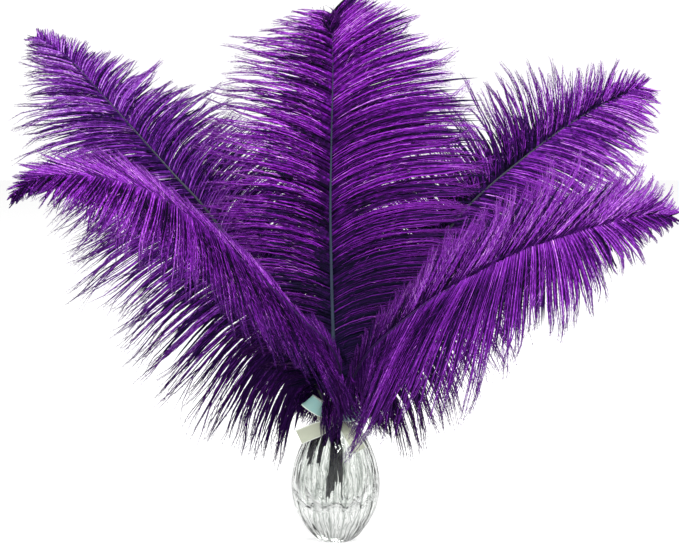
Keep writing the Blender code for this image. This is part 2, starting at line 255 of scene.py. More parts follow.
class Sketch(Nodes):
    """A material's nodes."""

    def __init__(self, name: str) -> None:
        """Start a material with a Principled shader."""
        self.material = bpy.data.materials.new(name)
        self.material.use_nodes = True
        super().__init__(self.material.node_tree)
        self.shader = self.tree.nodes["Principled BSDF"]

    def set(self, **values: Socket | float | Triple) -> None:
        """Set or feed the shader's own sockets; an underscore stands for a space."""
        for socket, value in values.items():
            self.feed(self.shader.inputs[socket.replace("_", " ")], value)

    def attribute(self, name: str) -> Socket:
        """Return the number that the surface's own attribute holds."""
        return self.add("Attribute", "Fac", {}, attribute_name=name)

    def place(self, scale: Triple = (1.0, 1.0, 1.0)) -> Socket:
        """Return the place on the object, stretched by a scale."""
        return self.add("Mapping", "Vector", {"Vector": self.add("TexCoord", "Object", {}), "Scale": scale})

    def noise(self, place: Socket, scale: float, detail: float = 3.0, roughness: float = 0.5) -> Socket:
        """Return a cloudy number between 0 and 1."""
        return self.add("TexNoise", "Fac", {"Vector": place, "Scale": scale, "Detail": detail,
                                            "Roughness": roughness})

    def around(self, count: int, wobble: Socket) -> Socket:
        """Return a wave that repeats count times round the upright axis, from -1 to 1."""
        along_x, along_y = (self.add("SeparateXYZ", axis, {"Vector": self.place()}) for axis in "XY")
        turn = self.worked("ARCTAN2", along_y, along_x)
        return self.add("Math", "Value", {0: self.sum(self.product(turn, float(count)), wobble)},
                        operation="SINE")

    def ramp(self, number: Socket, stops: tuple[tuple[float, Triple], ...]) -> Socket:
        """Read a colour from a ramp.

        Args:
            number: Where on the ramp, from 0 to 1.
            stops: The ramp's places and their colours.

        Returns:
            The colour.
        """
        node = self.tree.nodes.new("ShaderNodeValToRGB")
        elements = node.color_ramp.elements
        while len(elements) < len(stops):
            elements.new(0.5)
        for element, (position, color) in zip(elements, stops):
            element.position = position
            element.color = (*color, 1.0)
        self.feed(node.inputs["Fac"], number)
        return node.outputs["Color"]

    def mix(self, amount: Socket, first: Socket | Triple, second: Socket | Triple) -> Socket:
        """Return two colours mixed by an amount."""
        return self.add("Mix", 2, {0: amount, 6: first, 7: second}, data_type="RGBA")

    def bump(self, height: Socket, depth: float, strength: float) -> None:
        """Raise the surface by a height, in metres."""
        self.set(Normal=self.add("Bump", "Normal", {"Strength": strength, "Distance": depth,
                                                    "Height": height}))


# ---- finishes


@dataclass(frozen=True)
class DyedBarbsWithPaintedLight:
    """Downy barbs in an uneven dyed colour, with painted shade in their depths and painted highlights on
    their ridges.

    tones run from the darkest to the lightest. Where a barb ends, its colour turns towards
    dusk or dawn, as the vane's rim says. Up to foot_reach the barbs are mixed towards the
    foot colour, and tip_shade says how far the tone of the plume's tip is raised or lowered.
    """

    name: str
    tones: tuple[Triple, Triple, Triple, Triple, Triple]
    foot: Triple
    dusk: Triple = srgb(24, 18, 58)
    dawn: Triple = srgb(150, 54, 190)
    foot_reach: float = 0.48
    tip_shade: float = 0.0

    def material(self) -> bpy.types.Material:
        """Lay out the finish's nodes.

        Returns:
            The material.
        """
        sketch = Sketch(self.name)
        shade, cross, share, along = map(sketch.attribute, ("shade", "cross", "share", "along"))
        beside = sketch.sum(sketch.product(cross, 1.6), sketch.product(shade, 90.0))
        grain = sketch.add("CombineXYZ", "Vector", {"X": beside, "Y": sketch.product(share, 16.0)})
        grain_and_glints = sketch.noise(grain, 1.0, 3.0, 0.6)
        cloud = sketch.noise(sketch.place(), 24.0, 4.0, 0.6)
        # tone adds to each barb's shade: a painted highlight on its ridge and painted shade on its flanks,
        # random grain whose light dashes are painted glints, cloudy dyed colour, a lift by the shaft, a rise
        # towards the barb's end, a rise from the plume's foot to its tip, and the tip's own shift.
        tone = sketch.sum(shade,
                          sketch.spread(cross, 0.0, 0.87, 0.10, -0.12),
                          sketch.spread(grain_and_glints, 0.3, 0.7, -0.20, 0.20),
                          sketch.spread(cloud, 0.3, 0.7, -0.05, 0.05),
                          sketch.spread(share, 0.0, 0.2, 0.12, 0.0),
                          sketch.spread(share, 0.1, 0.75, -0.02, 0.08),
                          sketch.spread(along, 0.0, 0.9, -0.2, 0.08),
                          sketch.spread(along, 0.84, 1.0, 0.0, self.tip_shade))
        color = sketch.ramp(tone, tuple(zip((0.08, 0.34, 0.56, 0.78, 0.98), self.tones)))
        rim = sketch.mix(sketch.attribute("rim"), self.dusk, self.dawn)
        color = sketch.mix(sketch.spread(share, 0.55, 1.0, 0.0, 0.75), color, rim)
        low = sketch.spread(along, 0.0, self.foot_reach, 0.85, 0.0)
        sketch.set(Base_Color=sketch.mix(low, color, self.foot), Roughness=0.7, Specular_IOR_Level=0.04)
        return sketch.material


@dataclass(frozen=True)
class HornShaft:
    """The plume's shaft: dark dyed horn with a smooth, slightly glossy skin."""

    name: str
    shaft: Triple
    tip: Triple
    quill: Triple = srgb(16, 18, 28)
    streak: Triple = (0.004, 0.006, 0.012)

    def material(self) -> bpy.types.Material:
        """Lay out the finish's nodes.

        Returns:
            The material.
        """
        sketch = Sketch(self.name)
        color = sketch.ramp(sketch.attribute("share"), (
            (0.0, self.quill), (0.22, self.quill), (0.34, self.shaft), (0.8, self.shaft), (1.0, self.tip)))
        grain = sketch.noise(sketch.place((400.0, 400.0, 60.0)), 1.0)
        streaks = sketch.spread(grain, 0.35, 0.7, 0.0, 0.45)
        sketch.set(Base_Color=sketch.mix(streaks, color, self.streak), Roughness=0.38,
                   Specular_IOR_Level=0.3)
        sketch.bump(grain, 0.0001, 0.25)
        return sketch.material


@dataclass(frozen=True)
class PressedGlass:
    """Clear pressed glass with a faint grey-green body; painted shade darkens its grooves and fine upright
    streaks, standing in for the dark lines that refraction draws.
    """

    name: str = "pressed_glass"
    tint: Triple = (0.95, 0.965, 0.945)
    groove_shade: Triple = (0.20, 0.24, 0.21)
    streaks: int = 46

    def material(self) -> bpy.types.Material:
        """Lay out the finish's nodes.

        Returns:
            The material.
        """
        sketch = Sketch(self.name)
        cloud = sketch.noise(sketch.place((1.0, 1.0, 0.7)), 90.0, 2.0)
        # The streaks raise the bump and, with the grooves, darken the colour: painted shade for the dark
        # lines that refraction draws in fluted glass.
        streaks = sketch.around(self.streaks, sketch.spread(cloud, 0.3, 0.7, -2.2, 2.2))
        dark_streak_lines = sketch.product(sketch.spread(streaks, 0.72, 1.0, 0.0, 0.85), sketch.attribute("skin"))
        color = sketch.mix(sketch.attribute("groove_shade"), self.tint, self.groove_shade)
        sketch.set(Base_Color=sketch.mix(dark_streak_lines, color, self.groove_shade), Roughness=0.0, IOR=1.36,
                   Transmission_Weight=1.0)
        sketch.bump(streaks, 0.00012, 0.4)
        return sketch.material


@dataclass(frozen=True)
class SatinRibbon:
    """Thin cream satin, with a painted turquoise reflection on the loops and painted highlights along its
    edges.
    """

    name: str = "satin_weave"
    cream: Triple = srgb(164, 168, 150)
    turquoise: Triple = srgb(134, 180, 176)
    shadow: Triple = srgb(150, 158, 138)
    edge_highlight: Triple = srgb(236, 240, 232)

    def material(self) -> bpy.types.Material:
        """Lay out the finish's nodes.

        Returns:
            The material.
        """
        sketch = Sketch(self.name)
        # painted turquoise reflection, as much as each strip's tint says
        ground = sketch.mix(sketch.attribute("tint"), self.cream, self.turquoise)
        cloud = sketch.spread(sketch.noise(sketch.place(), 150.0, 4.0), 0.35, 0.7, 0.0, 0.3)
        # painted highlight along the ribbon's edges
        edge = sketch.spread(sketch.attribute("edge"), 0.84, 0.98, 0.0, 0.9)
        color = sketch.mix(edge, sketch.mix(cloud, ground, self.shadow), self.edge_highlight)
        sketch.set(Base_Color=color, Roughness=0.38, Specular_IOR_Level=0.45, Sheen_Weight=0.3,
                   Sheen_Roughness=0.3)
        weave = sketch.add("TexWave", "Fac", {"Scale": 620.0, "Distortion": 0.6, "Vector": sketch.place()},
                           wave_type="BANDS", bands_direction="DIAGONAL")
        sketch.bump(weave, 0.00005, 0.3)
        return sketch.material


@dataclass(frozen=True)
class StudioPaper:
    """The pale floor that the vase stands on, lit a little from below."""

    name: str = "studio_paper"
    color: Triple = (0.36, 0.36, 0.36)
    fleck: Triple = (0.3492, 0.3492, 0.3492)
    glow: float = 0.72

    def material(self) -> bpy.types.Material:
        """Lay out the finish's nodes.

        Returns:
            The material.
        """
        sketch = Sketch(self.name)
        tooth = sketch.noise(sketch.place(), 60.0, 2.0)
        sketch.set(Base_Color=sketch.mix(tooth, self.color, self.fleck), Roughness=0.9,
                   Specular_IOR_Level=0.1, Emission_Color=(1.0, 1.0, 1.0), Emission_Strength=self.glow)
        return sketch.material


class Horn(Enum):
    """The finishes of the shafts."""

    SLATE = HornShaft("slate_horn", shaft=srgb(34, 44, 62), tip=srgb(70, 48, 96))
    NAVY = HornShaft("navy_horn", shaft=srgb(36, 38, 54), tip=srgb(58, 50, 82))
    VIOLET = HornShaft("violet_horn", shaft=srgb(46, 16, 70), tip=srgb(60, 24, 84))


class BarbFinish(Enum):
    """The barb finish of each plume, its dyed colour with painted light and shade, from the back of the
    bouquet to its front.
    """

    CENTER = DyedBarbsWithPaintedLight(
        "dye_and_painted_light_center",
        (srgb(6, 1, 18), srgb(50, 6, 74), srgb(112, 24, 150), srgb(160, 58, 198), srgb(230, 172, 242)),
        foot=srgb(14, 10, 36))
    BACK_LEFT = DyedBarbsWithPaintedLight(
        "dye_and_painted_light_back_left",
        (srgb(5, 2, 18), srgb(36, 8, 64), srgb(92, 26, 130), srgb(136, 66, 176), srgb(210, 168, 230)),
        foot=srgb(40, 12, 66), foot_reach=0.25)
    BACK_RIGHT = DyedBarbsWithPaintedLight(
        "dye_and_painted_light_back_right",
        (srgb(5, 2, 18), srgb(40, 8, 68), srgb(100, 26, 138), srgb(150, 60, 188), srgb(214, 156, 234)),
        foot=srgb(12, 8, 34))
    FRONT_LEFT = DyedBarbsWithPaintedLight(
        "dye_and_painted_light_front_left",
        (srgb(6, 1, 18), srgb(48, 6, 74), srgb(114, 30, 154), srgb(162, 72, 202), srgb(226, 168, 242)),
        foot=srgb(48, 10, 72), dawn=srgb(120, 44, 160), foot_reach=0.25, tip_shade=-0.36)
    FRONT_RIGHT = DyedBarbsWithPaintedLight(
        "dye_and_painted_light_front_right",
        (srgb(6, 1, 18), srgb(44, 6, 70), srgb(106, 28, 144), srgb(154, 68, 194), srgb(220, 160, 238)),
        foot=srgb(30, 6, 52), foot_reach=0.3, tip_shade=-0.3)


# ---- strands, which every plume is made of


@dataclass(frozen=True)
class Strand:
    """A slim closed spindle that is made once and copied along many paths.

    levels are the shares of its length where it may bend. girth gives how wide it is at its
    root and at each level, and it ends in a point. sides is how many sides it has.
    """

    levels: Values
    girth: Values = (1.0,)
    sides: int = 3
    flatness: float = 1.0

    def template(self) -> tuple[np.ndarray, np.ndarray, np.ndarray]:
        """Make one straight spindle.

        Returns:
            Its corners, as (across, up, share of length), its triangles, and how far each
            corner lies from its ridge, from 0 to 1.
        """
        bm = bmesh.new()
        bmesh.ops.create_cone(bm, cap_ends=True, cap_tris=False, segments=self.sides, radius1=1.0,
                              radius2=0.0, depth=1.0)
        bmesh.ops.translate(bm, vec=(0.0, 0.0, 0.5), verts=bm.verts[:])
        for level in self.levels:
            bmesh.ops.bisect_plane(bm, geom=bm.verts[:] + bm.edges[:] + bm.faces[:], dist=NEAR,
                                   plane_co=(0.0, 0.0, level), plane_no=(0.0, 0.0, 1.0))
        bmesh.ops.triangulate(bm, faces=bm.faces[:])
        bmesh.ops.recalc_face_normals(bm, faces=bm.faces[:])
        corners = np.array([vertex.co[:] for vertex in bm.verts])
        triangles = np.array([[vertex.index for vertex in face.verts] for face in bm.faces])
        bm.free()
        share = corners[:, 2]
        corners[:, :2] /= np.maximum(1.0 - share, NEAR)[:, None]
        cross = np.abs(corners[:, 0])
        girth = np.interp(share, (0.0, *self.levels, 1.0), (*self.girth, 0.0))
        corners[:, :2] *= np.column_stack([girth, girth * self.flatness])
        return corners, triangles, cross

    def along_paths(self, paths: np.ndarray, across: np.ndarray,
                    widths: np.ndarray) -> tuple[np.ndarray, np.ndarray]:
        """Bend a copy of the spindle along each path.

        Args:
            paths: (strand, sample, 3) points in millimetres.
            across: (strand, sample, 3) unit vectors of the strands' width.
            widths: The half-width of each strand.

        Returns:
            (strand, corner, 3) places, and the triangles of one strand.
        """
        corners, triangles, _ = self.template()
        place = corners[:, 2] * (paths.shape[1] - 1)
        lower = np.minimum(place.astype(int), paths.shape[1] - 2)
        mixing = (place - lower)[None, :, None]
        heading = unit(np.gradient(paths, axis=1))
        up = unit(np.cross(heading, across))

        def read(samples: np.ndarray) -> np.ndarray:
            """Return vectors between samples, one for each corner."""
            return samples[:, lower] * (1.0 - mixing) + samples[:, lower + 1] * mixing

        offset = corners[None, :, 0:1] * read(across) + corners[None, :, 1:2] * read(up)
        return read(paths) + offset * widths[:, None, None], triangles

    def straight(self, roots: np.ndarray, headings: np.ndarray, across: np.ndarray,
                 lengths: np.ndarray, widths: np.ndarray) -> tuple[np.ndarray, np.ndarray]:
        """Copy the spindle straight out of each root.

        Args:
            roots: (strand, 3) points in millimetres.
            headings: (strand, 3) unit vectors that the strands follow.
            across: (strand, 3) vectors that their width lies near.
            lengths: The length of each strand.
            widths: The half-width of each strand.

        Returns:
            (strand, corner, 3) places, and the triangles of one strand.
        """
        corners, triangles, _ = self.template()
        across = unit(across - headings * (across * headings).sum(axis=-1, keepdims=True))
        up = np.cross(headings, across)
        places = (roots[:, None] + corners[None, :, 2:] * (headings * lengths[:, None])[:, None]
                  + (corners[None, :, 0:1] * across[:, None]
                     + corners[None, :, 1:2] * up[:, None]) * widths[:, None, None])
        return places, triangles


class Bundle:
    """Strands of any kind, gathered in one mesh with what their finish reads."""

    def __init__(self) -> None:
        """Start an empty bundle."""
        self.places: list[np.ndarray] = []
        self.triangles: list[np.ndarray] = []
        self.marks: dict[str, list[np.ndarray]] = {}
        self.count = 0

    def add(self, places: np.ndarray, triangles: np.ndarray, **marks: np.ndarray) -> None:
        """Add copies of one strand.

        Args:
            places: (strand, corner, 3) places in millimetres.
            triangles: The triangles of one strand.
            marks: Numbers that the finish reads, each (strand,) or (strand, corner).
        """
        strands, corners = places.shape[:2]
        starts = self.count + np.arange(strands)[:, None, None] * corners
        self.triangles.append((triangles[None] + starts).reshape(-1, 3))
        self.places.append(places.reshape(-1, 3))
        for name, values in marks.items():
            spread = values if values.ndim == 2 else np.repeat(values[:, None], corners, axis=1)
            self.marks.setdefault(name, []).append(spread.reshape(-1))
        self.count += strands * corners

    def mesh(self, name: str) -> bpy.types.Mesh:
        """Make one mesh of the whole bundle.

        Args:
            name: The mesh's name.

        Returns:
            The mesh, in metres.
        """
        places = np.concatenate(self.places) * MM
        triangles = np.concatenate(self.triangles)
        mesh = bpy.data.meshes.new(name)
        mesh.vertices.add(len(places))
        mesh.vertices.foreach_set("co", places.astype(np.float32).ravel())
        mesh.loops.add(triangles.size)
        mesh.loops.foreach_set("vertex_index", triangles.astype(np.int32).ravel())
        mesh.polygons.add(len(triangles))
        mesh.polygons.foreach_set("loop_start", np.arange(0, triangles.size, 3, dtype=np.int32))
        mesh.update(calc_edges=True)
        mark_corners(mesh, {mark: np.concatenate(values) for mark, values in self.marks.items()})
        return mesh


# ---- plumes


@dataclass(frozen=True)
class Vane:
    """One side of a plume. Each list runs from the vane's foot to its tip.

    lean holds the directions that the vane spreads in, lengths the lengths of its barbs, leave
    and reach the degrees between barb and shaft where they join and at the barb's end, and sag
    how much a barb's weight pulls its end down. From the share loose_from on, the barbs part
    into tufts of about tuft barbs each: gather says how tightly, ragged how unlike the tufts
    are, and curl how far their ends bend back towards the foot. veil is how far the barbs'
    roots reach over the front of the shaft, heft how thick the barbs are and fluff how wide
    their barbules stand open. shade says how light the barbs are, and rim how bright their ends
    are, from 0 to 1. shade is partly their dyed colour and partly painted light and shade, as
    one vane is made lighter than another.
    """

    lean: Curve
    lengths: Values
    leave: Values
    reach: Values
    sag: float
    loose_from: float = 0.62
    tuft: int = 7
    gather: float = 0.7
    ragged: float = 0.06
    curl: float = 0.0
    veil: float = 0.0
    heft: float = 1.0
    fluff: float = 1.0
    shade: float = 0.5
    rim: float = 0.3


@dataclass
class Barbs:
    """Barbs before they become mesh, in millimetres.

    paths and across are (barb, sample, 3): points, and unit vectors of the barbs' width.
    widths, along and shade hold one number for each barb: its half-width, its place along the
    vane and how light it is. girth is how wide a barb is along its length, and fluff how wide
    its barbules stand open.
    """

    paths: np.ndarray
    across: np.ndarray
    widths: np.ndarray
    along: np.ndarray
    shade: np.ndarray
    girth: Values = (0.85, 0.95, 1.0, 1.0, 0.95, 0.72, 0.42)
    fluff: float = 1.0


@dataclass(frozen=True)
class Tress:
    """Loose barbs that hang together along a route of their own, fanned as radii says.

    depth is how deep the tress is, as a share of how wide it is. ends and width are ranges,
    tone and roll (radians) spreads, and along is where on the vane the barbs get their colour.
    """

    route: Curve
    radii: Values
    count: int = 60
    heft: float = 1.0
    shade: float = 0.4
    rim: float = 0.3
    depth: float = 0.6
    ends: Pair = (0.72, 1.0)
    width: Pair = (0.6, 1.1)
    tone: float = 0.2
    roll: float = 0.6
    along: float = 0.2


@dataclass(frozen=True)
class Company:
    """Which barbs of a vane keep together.

    It holds one value for each barb: its place along the vane, the numbers of its tuft and its
    wisp, how far it lies from its wisp's middle, and whether it is a stray hair.
    """

    along: np.ndarray
    tuft: np.ndarray
    wisp: np.ndarray
    beside: np.ndarray
    stray: np.ndarray


@dataclass(frozen=True)
class Disorder:
    """How far a vane's barbs stray from its lists.

    strays is the share of stray hairs, wisp the fewest and most barbs of a wisp, and half_wisp
    how many barbs it reaches to either side. place, length, turn (degrees), parting,
    layer_spread (millimetres) and roll (radians) are spreads, a barb's own unless a name says
    whose. Of the three spreads in sideways, outward and wave, the first is shared by a tuft,
    the second a barb's own and the third a stray hair's. bend, layer, veil, hold and width are
    ranges. tone holds the spreads of shade between tufts, wisps and barbs, wisp_crown says how
    far a wisp's middle stands proud, and ridge how much lighter it is than the wisp's edges:
    painted light on the middle of each wisp and painted shade at its edges.
    """

    strays: float = 0.08
    wisp: tuple[int, int] = (2, 4)
    half_wisp: float = 1.2
    place: float = 0.4
    length: float = 0.045
    stray_length: float = 0.03
    turn: float = 0.7
    tuft_parting: float = 0.05
    parting: float = 0.04
    sideways: Triple = (0.055, 0.018, 0.08)
    outward: Triple = (0.02, 0.01, 0.02)
    wave: Triple = (1.5, 0.6, 3.0)
    wave_height: float = 0.026
    wave_turns: float = 12.0
    bend: Pair = (0.2, 1.7)
    layer: Pair = (-0.4, 0.3)
    wisp_crown: float = 0.6
    layer_spread: float = 0.25
    wisp_gather: float = 0.35
    veil: Pair = (0.5, 1.2)
    veil_reach: float = 0.16
    hold: Pair = (0.6, 1.0)
    tone: Triple = (0.015, 0.04, 0.07)
    ridge: float = 0.26
    width: Pair = (0.75, 1.2)
    roll: float = 0.45
    stray_width: float = 0.35
    stray_shade: float = 0.25


@dataclass(frozen=True)
class Backing:
    """The short, broad barbs that close a vane from behind, up to a little past where it parts.

    place, length, turn (degrees), depth (millimetres), tone and roll (radians) are spreads.
    These barbs are made dark as painted shade, for the gaps between the barbs in front.
    """

    count: int = 170
    half_width: float = 1.7
    past_parting: float = 0.16
    gap_shade: float = 0.32
    girth: Values = (0.9, 1.0, 1.0, 1.0, 0.9, 0.7, 0.4)
    place: float = 0.3
    length: float = 0.09
    turn: float = 1.0
    depth: float = 0.3
    width: Pair = (0.8, 1.2)
    tone: float = 0.08
    roll: float = 0.15


@dataclass(frozen=True)
class Down:
    """The barbules that fringe a barb, from the share first of its length to the share last.

    opening holds the fewest and most degrees that they stand open, and roll the spread of their
    turn round the barb, in radians. They are shorter on barbs below full_barb millimetres. tone is
    the spread of their shade, and pale the share of them that are made lighter, by the field
    that follows it: painted glints, as if they caught the light.
    """

    count: int = 27
    half_width: float = 0.2
    length: float = 6.5
    opening: Pair = (8.0, 30.0)
    roll: float = 0.6
    first: float = 0.06
    last: float = 0.99
    full_barb: float = 60.0
    tone: float = 0.12
    pale: float = 0.03
    glint_lift: float = 0.3


@dataclass
class Plume:
    """An ostrich plume: a shaft that follows a route, with a vane of loose barbs on each side."""

    name: str
    route: Curve
    vane_start: float
    left: Vane
    right: Vane
    barb_finish: BarbFinish
    horn: Horn
    seed: int
    tresses: tuple[Tress, ...] = ()
    barbs_per_side: int = 520
    barb_half_width: float = 0.58
    barb_levels: Values = (0.06, 0.18, 0.34, 0.52, 0.70, 0.87)
    barb_flatness: float = 0.45
    disorder: Disorder = Disorder()
    backing: Backing = Backing()
    down: Down = Down()
    quill_radius: float = 1.9
    mid_radius: float = 1.15
    tip_radius: float = 0.35
    shaft_rings: int = 90
    samples: int = 400
    steps: int = 24
    line: np.ndarray = field(init=False)
    ahead: np.ndarray = field(init=False)
    shares: np.ndarray = field(init=False)
    chance: np.random.Generator = field(init=False)

    def __post_init__(self) -> None:
        """Work out the shaft's line and the shares of a barb's length that its path is sampled at."""
        self.line = smooth_curve(self.route, self.samples)
        self.ahead = np.gradient(self.line, axis=0)
        self.shares = np.linspace(0.0, 1.0, self.steps + 1)
        self.chance = np.random.default_rng(self.seed)

    def varied(self, spread: float, count: int) -> np.ndarray:
        """Return random numbers round 0, none of them far out."""
        return np.clip(self.chance.normal(0.0, spread, count), -2.0 * spread, 2.0 * spread)

    def spread(self, vane: Vane, along: np.ndarray) -> tuple[np.ndarray, np.ndarray]:
        """Return the shaft's directions and the vane's sideways ones at shares of the vane's length."""
        tangent = unit(read_vectors(self.ahead, self.vane_start + (1.0 - self.vane_start) * along))
        lean = read_vectors(np.array(vane.lean), along)
        return tangent, unit(lean - tangent * (lean * tangent).sum(axis=-1, keepdims=True))

    def outward(self, vane: Vane, along: np.ndarray) -> np.ndarray:
        """Return the directions out of the vane's face, shaped to meet (barb, sample, 3) points."""
        return unit(np.cross(*self.spread(vane, along)))[:, None]

    def barb_paths(self, vane: Vane, along: np.ndarray, stretch: np.ndarray,
                   turn: np.ndarray) -> np.ndarray:
        """Follow each barb from the shaft to its end.

        Args:
            vane: The vane that the barbs belong to.
            along: Where each barb leaves the shaft, as a share of the vane's length.
            stretch: How much longer each barb is than the vane's list says.
            turn: Degrees that each barb turns further than the vane's list says.

        Returns:
            (barb, sample, 3) points in millimetres.
        """
        tangent, side = self.spread(vane, along)
        step = (read_list(vane.lengths, along) * stretch / self.steps)[:, None]
        leave = np.radians(read_list(vane.leave, along) + 0.3 * turn)
        reach = np.radians(read_list(vane.reach, along) + turn)
        points = [read_vectors(self.line, self.vane_start + (1.0 - self.vane_start) * along)]
        for number in range(self.steps):
            share = (number + 0.5) / self.steps
            angle = (leave + (reach - leave) * (1.0 - (1.0 - share) ** 2))[:, None]
            heading = np.cos(angle) * tangent + np.sin(angle) * side
            heading[:, 2] -= 2.0 * vane.sag * share
            points.append(points[-1] + unit(heading) * step)
        return np.stack(points, axis=1)

    def groups(self, fewest: int, most: int) -> np.ndarray:
        """Return which group each barb belongs to, for neighbours in groups of uneven size."""
        sizes = self.chance.integers(fewest, most + 1, self.barbs_per_side)
        return np.searchsorted(np.cumsum(sizes), np.arange(self.barbs_per_side), side="right")

    def middles(self, paths: np.ndarray, group: np.ndarray) -> np.ndarray:
        """Return the middle path of each barb's group."""
        totals = np.zeros((group.max() + 1, *paths.shape[1:]))
        np.add.at(totals, group, paths)
        return (totals / per_barb(np.bincount(group)))[group]

    def company(self, vane: Vane) -> Company:
        """Sort a vane's barbs into tufts, wisps and stray hairs.

        Args:
            vane: The vane.

        Returns:
            Which of its barbs keep together.
        """
        count = self.barbs_per_side
        order = np.arange(count)
        along = np.clip((order + self.varied(self.disorder.place, count) + 0.5) / count, 0.0, 1.0)
        tuft = self.groups(vane.tuft // 2, vane.tuft + vane.tuft // 2)
        wisp = self.groups(*self.disorder.wisp)
        middle = (np.bincount(wisp, order) / np.bincount(wisp))[wisp]
        beside = np.abs(order - middle) / self.disorder.half_wisp
        stray = self.chance.uniform(0.0, 1.0, count) < self.disorder.strays
        return Company(along, tuft, wisp, beside, stray)

    def parted(self, vane: Vane, company: Company, paths: np.ndarray) -> np.ndarray:
        """Part barbs that lie side by side into wisps, tufts and stray hairs.

        Args:
            vane: The vane that they belong to.
            company: Which of them keep together.
            paths: Their paths, side by side.

        Returns:
            Their parted paths.
        """
        rough, chance, tuft, stray = self.disorder, self.chance, company.tuft, company.stray
        count, tufts, wisps = len(paths), tuft.max() + 1, company.wisp.max() + 1
        out = self.outward(vane, company.along)
        flat = unit(np.cross(unit(np.gradient(paths, axis=1)), out))
        front = out * np.where(out[..., 1:2] > 0.0, -1.0, 1.0)
        share = self.shares[None, :, None]
        size = per_barb(read_list(vane.lengths, company.along))
        start = per_barb(vane.loose_from + self.varied(rough.tuft_parting, tufts)[tuft]
                         + self.varied(rough.parting, count))
        loose = np.clip((share - start) / (1.0 - start), 0.0, 1.0)

        def each(of_tuft: float, of_barb: float, of_stray: float) -> np.ndarray:
            """Return a random number for each barb, from the spreads of a Disorder."""
            alone = np.where(stray, self.varied(of_stray, count), self.varied(of_barb, count))
            return per_barb(self.varied(of_tuft, tufts)[tuft] * ~stray + alone)

        paths = paths + flat * size * each(*rough.sideways) * loose ** 1.6
        paths = paths + out * size * each(*rough.outward) * loose ** 1.4
        bend = vane.curl * per_barb(chance.uniform(*rough.bend, tufts)[tuft])
        paths = paths - flat * size * bend * loose ** 2
        layer = (chance.uniform(*rough.layer, wisps)[company.wisp] + rough.wisp_crown * (1.0 - company.beside)
                 + self.varied(rough.layer_spread, count))
        paths = paths + front * per_barb(layer) * ease(4.0 * share)
        paths = paths + (self.middles(paths, company.wisp) - paths) * rough.wisp_gather * ease(5.0 * share)
        cover = vane.veil * per_barb(chance.uniform(*rough.veil, count))
        over_shaft = 0.8 * front - self.spread(vane, company.along)[1][:, None]
        paths = paths + over_shaft * cover * (1.0 - ease(share / rough.veil_reach))
        wave = np.sin(rough.wave_turns * share + 2.0 * each(*rough.wave))
        paths = paths + flat * size * rough.wave_height * wave * loose
        held = per_barb(np.where(stray, 0.0, chance.uniform(*rough.hold, count)))
        return paths + (self.middles(paths, tuft) - paths) * vane.gather * ease(loose) * held

    def vane_barbs(self, vane: Vane) -> Barbs:
        """Lay out a vane's barbs: side by side at first, then parted.

        Args:
            vane: The vane.

        Returns:
            Its barbs.
        """
        count, rough = self.barbs_per_side, self.disorder
        company = self.company(vane)
        tuft, wisp, stray = company.tuft, company.wisp, company.stray
        tufts, wisps = tuft.max() + 1, wisp.max() + 1
        stretch = (1.0 + self.varied(vane.ragged, tufts))[tuft] * (1.0 + self.varied(rough.length, count))
        stretch = np.where(stray, 1.0 + self.varied(rough.stray_length, count), stretch)
        paths = self.barb_paths(vane, company.along, stretch, self.varied(rough.turn, count))
        paths = self.parted(vane, company, paths)
        # shade: the vane's own, random tone for tufts, wisps and barbs, and painted light on each wisp's
        # middle with painted shade at its edges
        shade = (vane.shade + self.varied(rough.tone[0], tufts)[tuft]
                 + self.varied(rough.tone[1], wisps)[wisp] + self.varied(rough.tone[2], count)
                 + rough.ridge * (0.5 - company.beside))
        widths = vane.heft * self.barb_half_width * self.chance.uniform(*rough.width, count)
        return Barbs(paths, self.across(paths, self.outward(vane, company.along), rough.roll),
                     np.where(stray, rough.stray_width, 1.0) * widths, company.along,
                     np.where(stray, rough.stray_shade, 1.0) * shade, fluff=vane.fluff)

    def backing_barbs(self, vane: Vane) -> Barbs:
        """Lay out the short, broad barbs that close a vane from behind, made dark as painted shade.

        Args:
            vane: The vane.

        Returns:
            The barbs behind it.
        """
        backing, count = self.backing, self.backing.count
        along = (np.arange(count) + self.varied(backing.place, count) + 0.5) / count
        stretch = vane.loose_from + backing.past_parting + self.varied(backing.length, count)
        paths = self.barb_paths(vane, along, stretch, self.varied(backing.turn, count))
        out = self.outward(vane, along)
        paths = paths + out * (per_barb(self.varied(backing.depth, count)) * self.shares[None, :, None])
        widths = backing.half_width * self.chance.uniform(*backing.width, count)
        # painted shade: the backing barbs are made dark where they show between the barbs in front
        shade = vane.shade - backing.gap_shade + self.varied(backing.tone, count)
        return Barbs(paths, self.across(paths, out, backing.roll), widths, along, shade, girth=backing.girth)

    def across(self, paths: np.ndarray, out: np.ndarray, roll: float) -> np.ndarray:
        """Return the width directions of barbs, each rolled a little round its own path."""
        heading = unit(np.gradient(paths, axis=1))
        flat = unit(np.cross(heading, out))
        turn = per_barb(self.varied(roll, len(paths)))
        return flat * np.cos(turn) + np.cross(heading, flat) * np.sin(turn)

